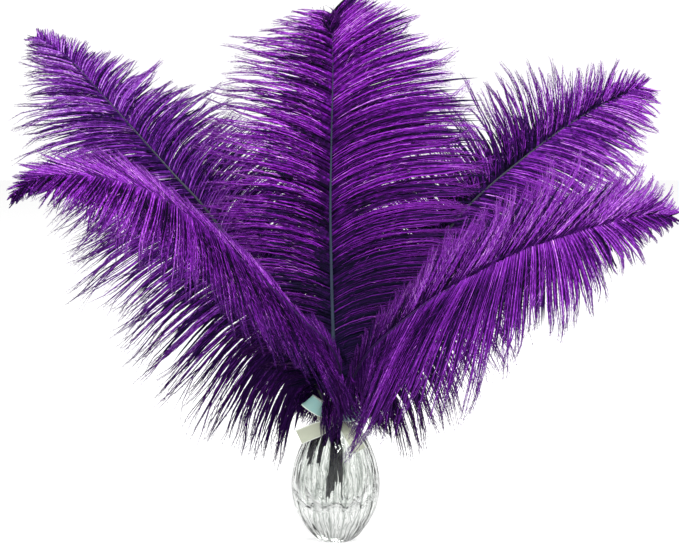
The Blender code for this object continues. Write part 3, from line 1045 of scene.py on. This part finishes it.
    def tress_barbs(self, tress: Tress) -> Barbs:
        """Lay out a tress's barbs.

        Args:
            tress: The tress.

        Returns:
            Its barbs, which hang round its route.
        """
        count, chance = tress.count, self.chance
        route = smooth_curve(tress.route, self.steps + 1)
        heading = unit(np.gradient(route, axis=0))
        side = unit(np.cross(heading, (0.0, 1.0, 0.0)))
        fore = np.cross(heading, side)
        radius = read_list(tress.radii, self.shares)[None, :, None]
        turn = per_barb(chance.uniform(0.0, 2.0 * math.pi, count))
        reach = per_barb(np.sqrt(chance.uniform(0.0, 1.0, count)))
        swing = turn + 0.5 * np.sin(5.0 * self.shares[None, :, None] + 3.0 * turn)
        fanned = np.cos(swing) * side[None] + tress.depth * np.sin(swing) * fore[None]
        paths = route[None] + radius * reach * fanned
        ends = chance.uniform(*tress.ends, count)[:, None] * self.shares[None]
        paths = np.stack([read_vectors(path, end) for path, end in zip(paths, ends)])
        widths = tress.heft * self.barb_half_width * chance.uniform(*tress.width, count)
        return Barbs(paths, self.across(paths, fore[None], tress.roll), widths, np.full(count, tress.along),
                     tress.shade + self.varied(tress.tone, count))

    def lay_barbs(self, bundle: Bundle, barbs: Barbs, rim: float, barbules: int = 0) -> None:
        """Add barbs to a bundle, and barbules along them.

        Args:
            bundle: The bundle that takes them.
            barbs: The barbs.
            rim: How bright their ends are, from 0 to 1.
            barbules: How many barbules each barb carries.
        """
        count = len(barbs.paths)
        strand = Strand(levels=self.barb_levels, girth=barbs.girth, flatness=self.barb_flatness)
        places, triangles = strand.along_paths(barbs.paths, barbs.across, barbs.widths)
        corners, _, ridge = strand.template()
        bundle.add(places, triangles, share=np.repeat(corners[None, :, 2], count, axis=0),
                   cross=np.repeat(ridge[None], count, axis=0), shade=barbs.shade, along=barbs.along,
                   rim=np.full(count, rim))
        if barbules:
            self.lay_down(bundle, barbs, rim, barbules)

    def lay_down(self, bundle: Bundle, barbs: Barbs, rim: float, barbules: int) -> None:
        """Add barbules to a bundle, on either side of each barb and shorter towards its ends.

        Args:
            bundle: The bundle that takes them.
            barbs: The barbs that carry them.
            rim: How bright the barbs' ends are, from 0 to 1.
            barbules: How many barbules each barb carries.
        """
        down, chance, paths = self.down, self.chance, barbs.paths
        owner = np.repeat(np.arange(len(paths)), barbules)
        total = len(owner)
        share = (np.tile(np.arange(barbules), len(paths)) + chance.uniform(0.0, 1.0, total)) / barbules
        share = down.first + (down.last - down.first) * share ** 0.75
        place = share * self.steps
        lower = np.minimum(place.astype(int), self.steps - 1)
        mixing = (place - lower)[:, None]
        root = paths[owner, lower] * (1.0 - mixing) + paths[owner, lower + 1] * mixing
        heading = unit(paths[owner, lower + 1] - paths[owner, lower])
        sideways = barbs.across[owner, lower] * np.where(np.arange(total) % 2, 1.0, -1.0)[:, None]
        upward = np.cross(heading, sideways)
        opening = np.radians(chance.uniform(*down.opening, total)) * barbs.fluff
        opening = (opening * np.interp(share, (0.5, 1.0), (1.0, 0.6)))[:, None]
        roll = chance.normal(0.0, down.roll, total)[:, None]
        beside = np.cos(roll) * sideways + np.sin(roll) * upward
        direction = unit(np.cos(opening) * heading + np.sin(opening) * beside)
        barb_length = np.linalg.norm(np.diff(paths, axis=1), axis=2).sum(axis=1)
        length = down.length * chance.uniform(0.6, 1.3, total)
        length *= np.interp(share, (0.0, 0.15, 0.6, 1.0), (0.6, 1.0, 0.85, 0.3))
        length *= np.clip(barb_length[owner] / down.full_barb, 0.45, 1.0)
        width = down.half_width * chance.uniform(0.7, 1.2, total)
        shade = barbs.shade[owner] + self.varied(down.tone, total)
        # painted glints: a few barbules are made lighter, as if they caught the light
        shade += np.where(chance.uniform(0.0, 1.0, total) < down.pale, down.glint_lift, 0.0)
        hair = Strand(levels=())
        places, triangles = hair.straight(root, direction, upward, length, width)
        bundle.add(places, triangles, share=share, cross=np.repeat(hair.template()[2][None], total, axis=0),
                   shade=shade, along=barbs.along[owner], rim=np.full(total, rim))

    def build_shaft(self) -> bpy.types.Object:
        """Build the quill and shaft as one tapered horn, cut off at its lower end.

        Returns:
            The shaft's piece.
        """
        levels = tuple(np.linspace(0.0, 1.0, self.shaft_rings)[1:-1])
        girth = np.interp((0.0, *levels), (0.0, 0.02, self.vane_start, 0.6, 1.0),
                          (0.75 * self.quill_radius, self.quill_radius, self.quill_radius,
                           self.mid_radius, self.tip_radius))
        shaft = Strand(levels=levels, girth=tuple(girth), sides=10)
        along = (np.linspace(0.0, 1.0, self.samples) - self.vane_start) / (1.0 - self.vane_start)
        across = self.spread(self.right, np.clip(along, 0.0, 1.0))[1]
        places, triangles = shaft.along_paths(self.line[None], across[None], np.array([1.0]))
        bundle = Bundle()
        bundle.add(places, triangles, share=shaft.template()[0][None, :, 2])
        name = f"{self.name}_shaft"
        return mesh_piece(name, bundle.mesh(name), self.horn.value.material())

    def build(self) -> list[bpy.types.Object]:
        """Build the whole plume and let it stand for its solid.

        Returns:
            The pieces of its barbs and its shaft.
        """
        bundle = Bundle()
        for vane in (self.left, self.right):
            self.lay_barbs(bundle, self.vane_barbs(vane), vane.rim, self.down.count)
            self.lay_barbs(bundle, self.backing_barbs(vane), 0.0)
        for tress in self.tresses:
            self.lay_barbs(bundle, self.tress_barbs(tress), tress.rim, self.down.count // 2)
        name = f"{self.name}_barbs"
        barbs = mesh_piece(name, bundle.mesh(name), self.barb_finish.value.material())
        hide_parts(self.name)
        return [barbs, self.build_shaft()]


LEFT = (-1.0, -0.18, 0.0)
RIGHT = (1.0, -0.18, 0.0)
LEFT_AND_DOWN = (-1.0, 0.18, -0.5)
RIGHT_AND_UP = (1.0, 0.04, 0.5)
LEFT_AND_UP = (-0.5, 0.04, 1.0)
RIGHT_AND_DOWN = (0.5, 0.18, -1.0)


def plumes() -> list[Plume]:
    """List the bouquet's plumes, which follow the same routes as their solids.

    Returns:
        The plumes, from the back of the bouquet to its front.
    """
    return [
        Plume(
            "feather_center",
            route=((5, -1, 28), (3, -0.3, 64), (1, 1, 100), (-1, 4, 141), (-3, 8, 200), (-4, 10, 262),
                   (-3, 7, 322), (-2, 1, 372), (-3, -8, 411)),
            vane_start=0.24,
            left=Vane((LEFT, LEFT), (52, 86, 104, 106, 104, 93, 76, 26), (60, 58, 56, 54, 54, 56, 58, 50),
                      (96, 91, 86, 82, 79, 76, 76, 72), 0.08,
                      loose_from=0.45, tuft=4, gather=0.85, ragged=0.1, heft=0.85, fluff=0.7, shade=0.64,
                      rim=0.25),
            right=Vane((RIGHT, RIGHT), (52, 88, 116, 124, 122, 108, 78, 24), (60, 57, 54, 52, 50, 49, 46, 34),
                       (96, 91, 86, 83, 81, 76, 62, 42), 0.08,
                       loose_from=0.8, tuft=6, ragged=0.07, shade=0.46, rim=0.75),
            barb_finish=BarbFinish.CENTER, horn=Horn.SLATE, seed=11,
            tresses=(Tress(((-3, -6, 398), (-3, -8, 406), (-3, -9, 413), (-3, -10, 419)), (1, 7, 13, 18),
                           count=50, shade=0.55, rim=0.3),
                     Tress(((0, 3, 112), (0, 5, 124), (0, 8, 140), (0, 9, 162)), (8, 14, 20, 22),
                           count=80, shade=0.15, rim=0.0))),
        Plume(
            "feather_back_left",
            route=((7, 3.5, 28.7), (1, 4.2, 64), (-6, 6, 99), (-10, 7.5, 112), (-21, 13, 132),
                   (-41, 21, 165), (-62, 30, 201), (-84, 38, 233), (-106, 45, 261), (-127, 50.5, 283),
                   (-148, 56, 306), (-168, 60, 328), (-188, 63, 350), (-207, 65.5, 371),
                   (-224, 66.5, 385), (-236, 67, 392)),
            vane_start=0.22,
            left=Vane((LEFT_AND_DOWN, LEFT_AND_DOWN), (68, 112, 124, 120, 109, 87, 51, 10),
                      (104, 80, 62, 51, 43, 35, 24, 10), (138, 116, 98, 84, 70, 55, 38, 16), 0.08,
                      loose_from=0.58, tuft=3, gather=0.48, ragged=0.11, heft=1.35, fluff=1.2, shade=0.69,
                      rim=0.1),
            right=Vane((RIGHT_AND_UP, RIGHT_AND_UP), (50, 80, 92, 86, 72, 50, 25, 8),
                       (42, 46, 50, 53, 55, 56, 52, 36), (60, 68, 80, 92, 98, 96, 84, 46), 0.04,
                       loose_from=0.55, tuft=4, gather=0.4, ragged=0.12, heft=1.25, fluff=1.4, shade=0.55,
                       rim=0.3),
            barb_finish=BarbFinish.BACK_LEFT, horn=Horn.NAVY, seed=23, mid_radius=1.0,
            tresses=(Tress(((-9, 8, 116), (-14, 11, 119), (-20, 13, 110), (-23, 13, 99), (-28, 12, 90)),
                           (3, 9, 13, 13, 12), count=190, shade=0.42, rim=0.1),)),
        Plume(
            "feather_back_right",
            route=((-6, 8.5, 28.5), (0, 8.6, 64), (6, 6, 99), (10, 8, 113), (20, 13.5, 131),
                   (45, 28, 172), (72, 40, 216), (105, 50, 259), (152, 58, 299), (193, 63, 328),
                   (228, 65, 347), (243, 65, 353)),
            vane_start=0.22,
            left=Vane((LEFT_AND_UP, LEFT_AND_UP), (50, 80, 90, 84, 74, 60, 40, 12),
                      (45, 46, 46, 44, 42, 38, 32, 14), (72, 84, 94, 96, 88, 72, 54, 26), 0.04,
                      loose_from=0.42, tuft=4, gather=0.75, ragged=0.14, heft=0.9, fluff=1.2, shade=0.54,
                      rim=0.35),
            right=Vane((RIGHT_AND_DOWN, RIGHT_AND_DOWN), (80, 102, 108, 106, 98, 84, 58, 16),
                       (55, 54, 52, 48, 44, 42, 38, 18), (140, 128, 112, 92, 74, 62, 54, 34), 0.08,
                       loose_from=0.6, tuft=4, gather=0.6, ragged=0.08, heft=1.15, shade=0.55, rim=0.9),
            barb_finish=BarbFinish.BACK_RIGHT, horn=Horn.NAVY, seed=37, mid_radius=0.9,
            tresses=(Tress(((12, 9, 116), (22, 12, 118), (32, 12, 108), (39, 11, 94), (44, 10, 78)),
                           (3, 9, 14, 15, 12), count=150, shade=0.36, rim=0.2),)),
        Plume(
            "feather_front_left",
            route=((-5, -8, 28), (-2, -8, 64), (1.5, -8, 99), (3, -17, 135), (-7, -30, 160),
                   (-24, -42, 178), (-46, -58, 203), (-72, -78, 230), (-101, -98, 257), (-135, -118, 282),
                   (-166, -134, 293), (-195, -148, 297), (-215, -158, 295), (-229, -164, 286)),
            vane_start=0.23,
            left=Vane(((-0.18, -1.04, -0.03), (-0.2, -0.75, -0.65), (0, -0.6, -0.8)),
                      (47, 64, 78, 80, 70, 54, 34, 12), (55, 110, 154, 156, 124, 72, 40, 16),
                      (146, 140, 146, 128, 98, 68, 44, 18), 0.10,
                      loose_from=0.5, tuft=4, gather=0.65, ragged=0.16, curl=0.04, veil=1.0, heft=1.1,
                      shade=0.5, rim=0.05),
            right=Vane(((0.2, 1.0, 0), (0.1, 0.9, 0), (0, 0.85, 0.5)),
                       (16, 28, 42, 54, 62, 58, 40, 10), (38, 38, 39, 40, 40, 39, 32, 14),
                       (42, 42, 44, 46, 46, 38, 18, 2), 0.04,
                       loose_from=0.66, tuft=6, gather=0.6, ragged=0.1, curl=0.05, shade=0.58, rim=0.6),
            barb_finish=BarbFinish.FRONT_LEFT, horn=Horn.VIOLET, seed=41, mid_radius=0.8,
            tresses=(Tress(((3, -16, 134), (0, -25, 124), (-3, -28, 108), (-4, -27, 92), (-3, -27, 78)),
                           (3, 7, 9, 9, 6), count=110, shade=0.42, rim=0.0),
                     Tress(((-2, -7, 108), (-5, -7, 98), (-13, -10, 86), (-18, -12, 73), (-20, -12, 56)),
                           (1, 2, 2.5, 2.5, 2), count=12, heft=3.5, shade=-0.3, rim=0.0),
                     Tress(((-1, -8, 108), (-3, -8, 98), (-7, -12, 86), (-11, -15, 73), (-12, -15, 56)),
                           (1, 1.5, 1.5, 1.5, 1.5), count=10, heft=3.5, shade=-0.3, rim=0.0),
                     Tress(((1, -8, 108), (1, -8, 98), (0, -13, 86), (-2, -16, 73), (-2, -16, 58)),
                           (1, 2, 3, 3, 2), count=14, heft=3.5, shade=-0.3, rim=0.0))),
        Plume(
            "feather_front_right",
            route=((-5, -3.5, 28), (0.5, -4.2, 64), (6.5, -4.5, 99), (9.5, -8, 113), (16, -14, 133),
                   (28, -24, 154), (53, -42, 179), (77, -58, 199), (109, -76, 219), (141, -92, 237),
                   (172, -108, 249), (199, -122, 259), (223, -134, 266), (242, -142, 268)),
            vane_start=0.22,
            left=Vane(((-0.4, 1.0, 0), (-0.1, 0.7, 0.7), (0, 0.5, 0.85)),
                      (18, 38, 60, 76, 80, 72, 46, 10), (40, 40, 40, 38, 36, 31, 24, 10),
                      (50, 50, 52, 52, 48, 41, 32, 16), 0.04,
                      loose_from=0.66, tuft=5, gather=0.6, ragged=0.12, curl=0.12, shade=0.68, rim=0.6),
            right=Vane(((0.27, -1.02, -0.16), (0.1, -0.6, -0.8), (0, -0.5, -0.85)),
                       (12, 30, 114, 126, 105, 69, 38, 10), (40, 100, 146, 150, 126, 76, 38, 14),
                       (112, 126, 136, 130, 116, 88, 56, 24), 0.12,
                       loose_from=0.6, tuft=6, gather=0.55, ragged=0.14, curl=0.05, veil=1.0, heft=1.1,
                       shade=0.46, rim=0.15),
            barb_finish=BarbFinish.FRONT_RIGHT, horn=Horn.VIOLET, seed=59, mid_radius=0.8,
            tresses=(Tress(((10, -14, 130), (11, -22, 120), (13, -27, 111), (17, -29, 103), (22, -29, 95)),
                           (4, 8, 11, 12, 11), count=150, shade=0.4, rim=0.1),)),
    ]


# ---- vase


@dataclass
class FlutedVase:
    """The vase: one turned wall of clear glass, its outside pressed into wavy flutes."""

    flutes: int = 16
    points_per_flute: int = 18
    flute_depth: float = 0.9
    neck_height: float = 99.0
    lip_height: float = 111.0
    lip_round: float = 0.55
    floor_height: float = 27.0
    outer_rings: int = 44
    inner_rings: int = 38
    foot: tuple[Pair, ...] = ((0.0, 1.2), (8.0, 1.2), (11.4, 0.25))
    outer: tuple[Pair, ...] = (
        (13.0, 0.0), (19.6, 5.5), (26.2, 15.0), (31.8, 26.0), (34.7, 41.0), (33.4, 57.0),
        (28.9, 71.8), (22.6, 84.0), (16.2, 92.5), (13.6, 99.0), (15.4, 106.0), (18.5, 111.0))
    inner: tuple[Pair, ...] = (
        (16.9, 111.0), (13.2, 106.0), (11.6, 99.0), (13.6, 92.0), (19.4, 83.0), (25.0, 71.0),
        (28.6, 57.0), (28.2, 43.0), (22.0, 32.0), (11.0, 27.0))
    finish: PressedGlass = PressedGlass()

    def profile(self) -> list[Pair]:
        """Return the wall's (radius, height) profile, from under the foot over the lip to the floor.

        Returns:
            The profile's points, evenly spaced along the outer and the inner wall.
        """

        def smooth(points: tuple[Pair, ...], count: int) -> list[Pair]:
            """Return evenly spaced points of the curve through some points."""
            curve = smooth_curve(tuple((radius, 0.0, height) for radius, height in points), count)
            return [(float(radius), float(height)) for radius, _, height in curve]

        outer = smooth(self.outer, self.outer_rings)
        inner = smooth((*self.inner, (0.0, self.floor_height - 1.0)), self.inner_rings)
        lip = (0.5 * (outer[-1][0] + inner[0][0]), self.lip_height + self.lip_round)
        return [*self.foot, *outer, lip, *inner[:-1], (0.0, inner[-1][1])]

    def wall_radius(self, heights: np.ndarray) -> np.ndarray:
        """Return the outer wall's radius at heights."""
        wall = self.profile()[len(self.foot):len(self.foot) + self.outer_rings]
        radii, levels = zip(*wall)
        return np.interp(heights, levels, radii)

    def build(self) -> bpy.types.Object:
        """Build the vase and let it stand for its solid.

        Returns:
            Its piece.
        """
        bm = bmesh.new()
        points = [bm.verts.new((radius * MM, 0.0, height * MM)) for radius, height in self.profile()]
        edges = [bm.edges.new(pair) for pair in zip(points, points[1:])]
        bmesh.ops.spin(bm, geom=points + edges, cent=(0, 0, 0), axis=(0, 0, 1), angle=2.0 * math.pi,
                       steps=self.flutes * self.points_per_flute, use_merge=True, use_duplicate=False)
        bmesh.ops.remove_doubles(bm, verts=bm.verts[:], dist=NEAR)
        bmesh.ops.recalc_face_normals(bm, faces=bm.faces[:])
        mesh = mesh_from(bm, "vase_glass")
        places = np.empty(len(mesh.vertices) * 3, np.float32)
        mesh.vertices.foreach_get("co", places)
        places, marks = self.pressed(places.reshape(-1, 3).astype(float) / MM)
        mesh.vertices.foreach_set("co", (places * MM).astype(np.float32).ravel())
        mark_corners(mesh, marks)
        piece = mesh_piece("vase_glass", mesh, self.finish.material())
        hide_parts("vase")
        return piece

    def pressed(self, places: np.ndarray) -> tuple[np.ndarray, dict[str, np.ndarray]]:
        """Press sharp wavy grooves into the outer wall, and soft facets into the inner one.

        Args:
            places: The smooth vase's corners, in millimetres.

        Returns:
            The corners in their pressed places, and what the glass reads of each one: how much
            painted shade it takes, which is most at the bottom of the outer grooves and on the inner
            facets, and whether it is on the outer skin.
        """
        radius = np.hypot(places[:, 0], places[:, 1])
        height = places[:, 2]
        turn = np.arctan2(places[:, 1], places[:, 0])
        flutes = self.flutes * turn
        outside = radius > self.wall_radius(height) - 0.25
        inside = ~outside & (radius > 9.0)

        wander = (0.8 * np.sin(height / 7.0 + 2.0 * np.sin(3.0 * turn))
                  + 0.5 * np.sin(height / 13.0 + 5.0 * turn))
        crown = np.abs(np.cos(0.5 * (flutes + wander)))
        facet = np.abs(np.cos(0.5 * flutes - 0.6 * wander + 0.8))
        depth = self.flute_depth * np.interp(
            height, (0.0, 2.0, 9.0, 20.0, 80.0, self.neck_height, self.lip_height),
            (0.0, 1.0, 1.5, 0.7, 0.4, 0.3, 0.9))
        echo = np.interp(height, (self.floor_height, 36.0, 84.0, self.neck_height), (0.0, 0.5, 0.25, 0.0))
        pressed = radius - np.where(outside, depth * (1.0 - crown), echo * facet * inside)

        wave = np.cos(0.5 * flutes) * np.interp(radius, (4.0, 14.0, 26.0, 28.0), (0.0, 1.6, 1.6, 0.0))
        by_floor = ~outside & (height < 42.0) & (height > self.floor_height - 3.0)
        scale = np.where(radius > NEAR, pressed / np.maximum(radius, NEAR), 1.0)
        # painted shade: strongest at the bottom of the outer grooves and along the inner facets
        groove_shade = np.where(outside, np.clip(1.0 - crown / 0.32, 0.0, 1.0),
                          0.8 * np.clip(facet * 6.0 - 5.0, 0.0, 1.0) * inside)
        marks = {"groove_shade": groove_shade, "skin": outside & (height > 3.0)}
        raised = height + wave * by_floor
        return np.column_stack([places[:, 0] * scale, places[:, 1] * scale, raised]), marks


# ---- ribbon


@dataclass(frozen=True)
class Strip:
    """A stretch of the ribbon, carried along a route.

    across holds the directions of its width, widths its share of the full width, cup how far
    its middle stands proud of its edges, and tint how much painted turquoise reflection it takes.
    """

    route: Curve
    across: Curve
    widths: Values
    cup: float = 0.3
    tint: float = 0.0
    ripple: float = 0.15


@dataclass
class RibbonBow:
    """One ribbon round the neck of the vase: band, knot, two loops and two tails."""

    width: float = 12.0
    thickness: float = 0.28
    flat_length: float = 280.0
    steps: int = 40
    columns: int = 8
    knot: Triple = (0.0, -18.0, 99.0)
    band_radius: float = 14.5
    finish: SatinRibbon = SatinRibbon()

    def loop(self, axis: Triple, stretch: float = 1.0) -> Curve:
        """Return a bow loop's route: out along its axis in front, round its end and back behind.

        Args:
            axis: The direction that the loop points in from the knot.
            stretch: How much longer than the plain loop it is.

        Returns:
            The route.
        """
        reaches = (0, 5, 12, 18, 21.3, 19.5, 12, 5, 0)
        depths = (1.6, 3.2, 4.2, 3.3, 0.6, -1.6, -2.4, -1.9, -1.2)
        along = stretch * np.outer(reaches, axis)
        return tuple(tuple(place) for place in self.knot + along - np.outer(depths, (0, 1, 0)))

    def ring(self, count: int) -> Curve:
        """Return the band's route round the neck."""
        turns = np.linspace(-0.5 * math.pi, 1.5 * math.pi, count)
        return tuple((self.band_radius * math.cos(turn), self.band_radius * math.sin(turn), self.knot[2])
                     for turn in turns)

    def wrap(self) -> Curve:
        """Return the knot's route: over the crossing from behind, down its front and back under it."""
        turns = np.linspace(-0.35 * math.pi, 1.7 * math.pi, 15)
        return tuple((self.knot[0], self.knot[1] - 3.4 * math.cos(turn), self.knot[2] + 3.9 * math.sin(turn))
                     for turn in turns)

    def strips(self) -> list[Strip]:
        """List the bow's stretches of ribbon.

        Returns:
            The band, the knot, the two loops and the two tails.
        """
        pinched = (0.34, 0.6, 0.95, 1.0, 1.0, 1.0, 0.95, 0.6, 0.34)
        fanned = (0.42, 0.8, 1.0, 1.0, 1.0)
        return [
            Strip(self.ring(33), ((0, 0, 1), (0, 0, 1)), (0.55, 0.55), cup=-0.35, ripple=0.25),
            Strip(self.wrap(), ((1, 0, 0.1), (1, 0, -0.1)), (0.62, 0.72, 0.62), cup=-0.3),
            Strip(self.loop((-0.79, -0.22, 0.57), 1.3), ((0.78, 0, 0.62), (0.78, 0, 0.62)), pinched,
                  tint=1.0),
            Strip(self.loop((0.88, -0.30, 0.37)), ((-0.40, 0, 0.92), (-0.40, 0, 0.92)), pinched, tint=0.8),
            Strip(((-1.5, -18.8, 97.5), (-7, -20.8, 94), (-14, -20.8, 91), (-21, -19.8, 88),
                   (-28.5, -18.3, 84.5)), ((-0.45, 0, 0.89), (-0.45, 0, 0.89)), fanned),
            Strip(((1.5, -18.8, 97.5), (6.5, -20.3, 93.5), (11, -21.8, 88.5), (15, -23.5, 82),
                   (18.5, -24.9, 75)), ((0.80, 0.38, 0.46), (0.80, 0.38, 0.46)), fanned)]

    def lay(self, strip: Strip) -> tuple[bmesh.types.BMesh, np.ndarray]:
        """Make one strip as a grid and carry it along its route.

        Args:
            strip: The strip.

        Returns:
            The bmesh, and how near each of its corners is to the ribbon's edge.
        """
        bm = bmesh.new()
        bmesh.ops.create_grid(bm, x_segments=self.steps, y_segments=self.columns, size=0.5)
        flat = np.array([vertex.co[:] for vertex in bm.verts])
        share, beside = flat[:, 0] + 0.5, 2.0 * flat[:, 1]
        line = smooth_curve(strip.route, 200)
        heading = unit(read_vectors(np.gradient(line, axis=0), share))
        across = read_vectors(np.array(strip.across, dtype=float), share)
        across = unit(across - heading * (across * heading).sum(axis=1, keepdims=True))
        widths = read_list(strip.widths, share)
        fold = strip.ripple * (2.6 - 2.2 * widths) * np.cos(2.6 * math.pi * beside + 4.0 * share)
        proud = strip.cup * (1.0 - beside ** 2) + fold
        places = (read_vectors(line, share) + across * (0.5 * self.width * widths * beside)[:, None]
                  + np.cross(heading, across) * proud[:, None])
        for vertex, place in zip(bm.verts, places):
            vertex.co = Vector(place * MM)
        return bm, np.abs(beside)

    def build(self) -> bpy.types.Object:
        """Build the ribbon as one thin sheet of cloth and let it stand for its solid.

        Returns:
            Its piece.
        """
        joined = bmesh.new()
        turquoise_reflections: list[np.ndarray] = []
        edges: list[np.ndarray] = []
        for strip in self.strips():
            bm, edge = self.lay(strip)
            part = mesh_from(bm, "strip")
            joined.from_mesh(part)
            bpy.data.meshes.remove(part)
            turquoise_reflections.append(np.full(len(edge), strip.tint))
            edges.append(edge)
        mesh = mesh_from(joined, "ribbon_satin")
        mark_corners(mesh, {"tint": np.concatenate(turquoise_reflections), "edge": np.concatenate(edges)})
        piece = mesh_piece("ribbon_satin", mesh, self.finish.material())
        cloth = piece.modifiers.new("cloth", "SOLIDIFY")
        cloth.thickness = self.thickness * MM
        cloth.offset = 0.0
        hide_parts("ribbon_bow")
        return piece


# ---- studio


@dataclass
class Studio:
    """The pale floor, the soft lights and the camera at the photograph's angle.

    target and distance are in millimetres, scale in millimetres for each pixel of the picture,
    sensor in millimetres as the camera counts them, and floor_radius and lit_point in metres.
    wall and ceiling say how bright the room is.
    """

    target: Triple = (3.1, 0.0, 211.5)
    distance: float = 2200.0
    elevation: float = 6.0
    picture_width: float = 679.0
    scale: float = 0.78
    sensor: float = 36.0
    floor_radius: float = 4.0
    lit_point: Triple = (0.0, 0.0, 0.22)
    wall: float = 1.05
    ceiling: float = 0.35
    paper: StudioPaper = StudioPaper()

    def camera(self) -> bpy.types.Object:
        """Create the camera, which looks slightly down at the bouquet from the front.

        Returns:
            The camera.
        """
        data = bpy.data.cameras.new("camera")
        data.sensor_fit = "HORIZONTAL"
        data.sensor_width = self.sensor
        data.lens = self.sensor * (self.distance / self.scale) / self.picture_width
        data.clip_start = 0.05
        data.clip_end = 60.0
        camera = link(bpy.data.objects.new("camera", data))
        tilt = math.radians(self.elevation)
        camera.location = Vector((self.target[0], self.target[1] - self.distance * math.cos(tilt),
                                  self.target[2] + self.distance * math.sin(tilt))) * MM
        camera.rotation_euler = (0.5 * math.pi - tilt, 0.0, 0.0)
        bpy.context.scene.camera = camera
        return camera

    def floor(self) -> bpy.types.Object:
        """Lay the pale floor that the vase stands on.

        Returns:
            The floor.
        """
        bm = bmesh.new()
        bmesh.ops.create_circle(bm, cap_ends=True, segments=96, radius=self.floor_radius)
        mesh = mesh_from(bm, "floor")
        mesh.materials.append(self.paper.material())
        floor = link(bpy.data.objects.new("floor", mesh))
        return floor

    def lamp(self, name: str, place: Triple, power: float, size: float) -> bpy.types.Object:
        """Hang a square soft light that faces the bouquet.

        Args:
            name: Its name.
            place: Where it hangs, in metres.
            power: How strong it is, in watts.
            size: The length of its sides, in metres.

        Returns:
            The light.
        """
        data = bpy.data.lights.new(name, "AREA")
        data.energy = power
        data.size = size
        lamp = link(bpy.data.objects.new(name, data))
        lamp.location = place
        toward = Vector(self.lit_point) - Vector(place)
        lamp.rotation_euler = toward.to_track_quat("-Z", "Y").to_euler()
        return lamp

    def room(self) -> None:
        """Surround the bouquet with white walls under a dimmer ceiling."""
        world = bpy.data.worlds.new("white_room")
        bpy.context.scene.world = world
        world.use_nodes = True
        nodes = Nodes(world.node_tree)
        rise = nodes.add("SeparateXYZ", "Z", {"Vector": nodes.add("TexCoord", "Generated", {})})
        background = nodes.tree.nodes["Background"].inputs
        nodes.feed(background["Color"], (1.0, 1.0, 1.0))
        nodes.feed(background["Strength"], nodes.spread(rise, 0.15, 0.75, self.wall, self.ceiling))

    def build(self) -> None:
        """Set up the camera, the floor, a bright room, a key above the front and a rim behind."""
        self.camera()
        self.floor()
        self.room()
        self.lamp("key", (0.1, -1.7, 2.2), 110.0, 0.8)
        self.lamp("fill", (1.6, -1.2, 1.2), 12.0, 1.2)
        self.lamp("rim", (0.4, 1.6, 1.8), 26.0, 1.2)
        view = bpy.context.scene.view_settings
        view.view_transform = "Standard"
        view.look = "None"


def main() -> None:
    """Build the studio and every piece."""
    logging.basicConfig(level=logging.INFO, format="%(name)s: %(message)s")
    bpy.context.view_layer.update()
    Studio().build()
    pieces = [FlutedVase().build(), RibbonBow().build()]
    for plume in plumes():
        pieces.extend(plume.build())
    for piece in pieces:
        LOG.info("%s has %d faces", piece.name, len(piece.data.polygons))


if __name__ == "__main__":
    main()
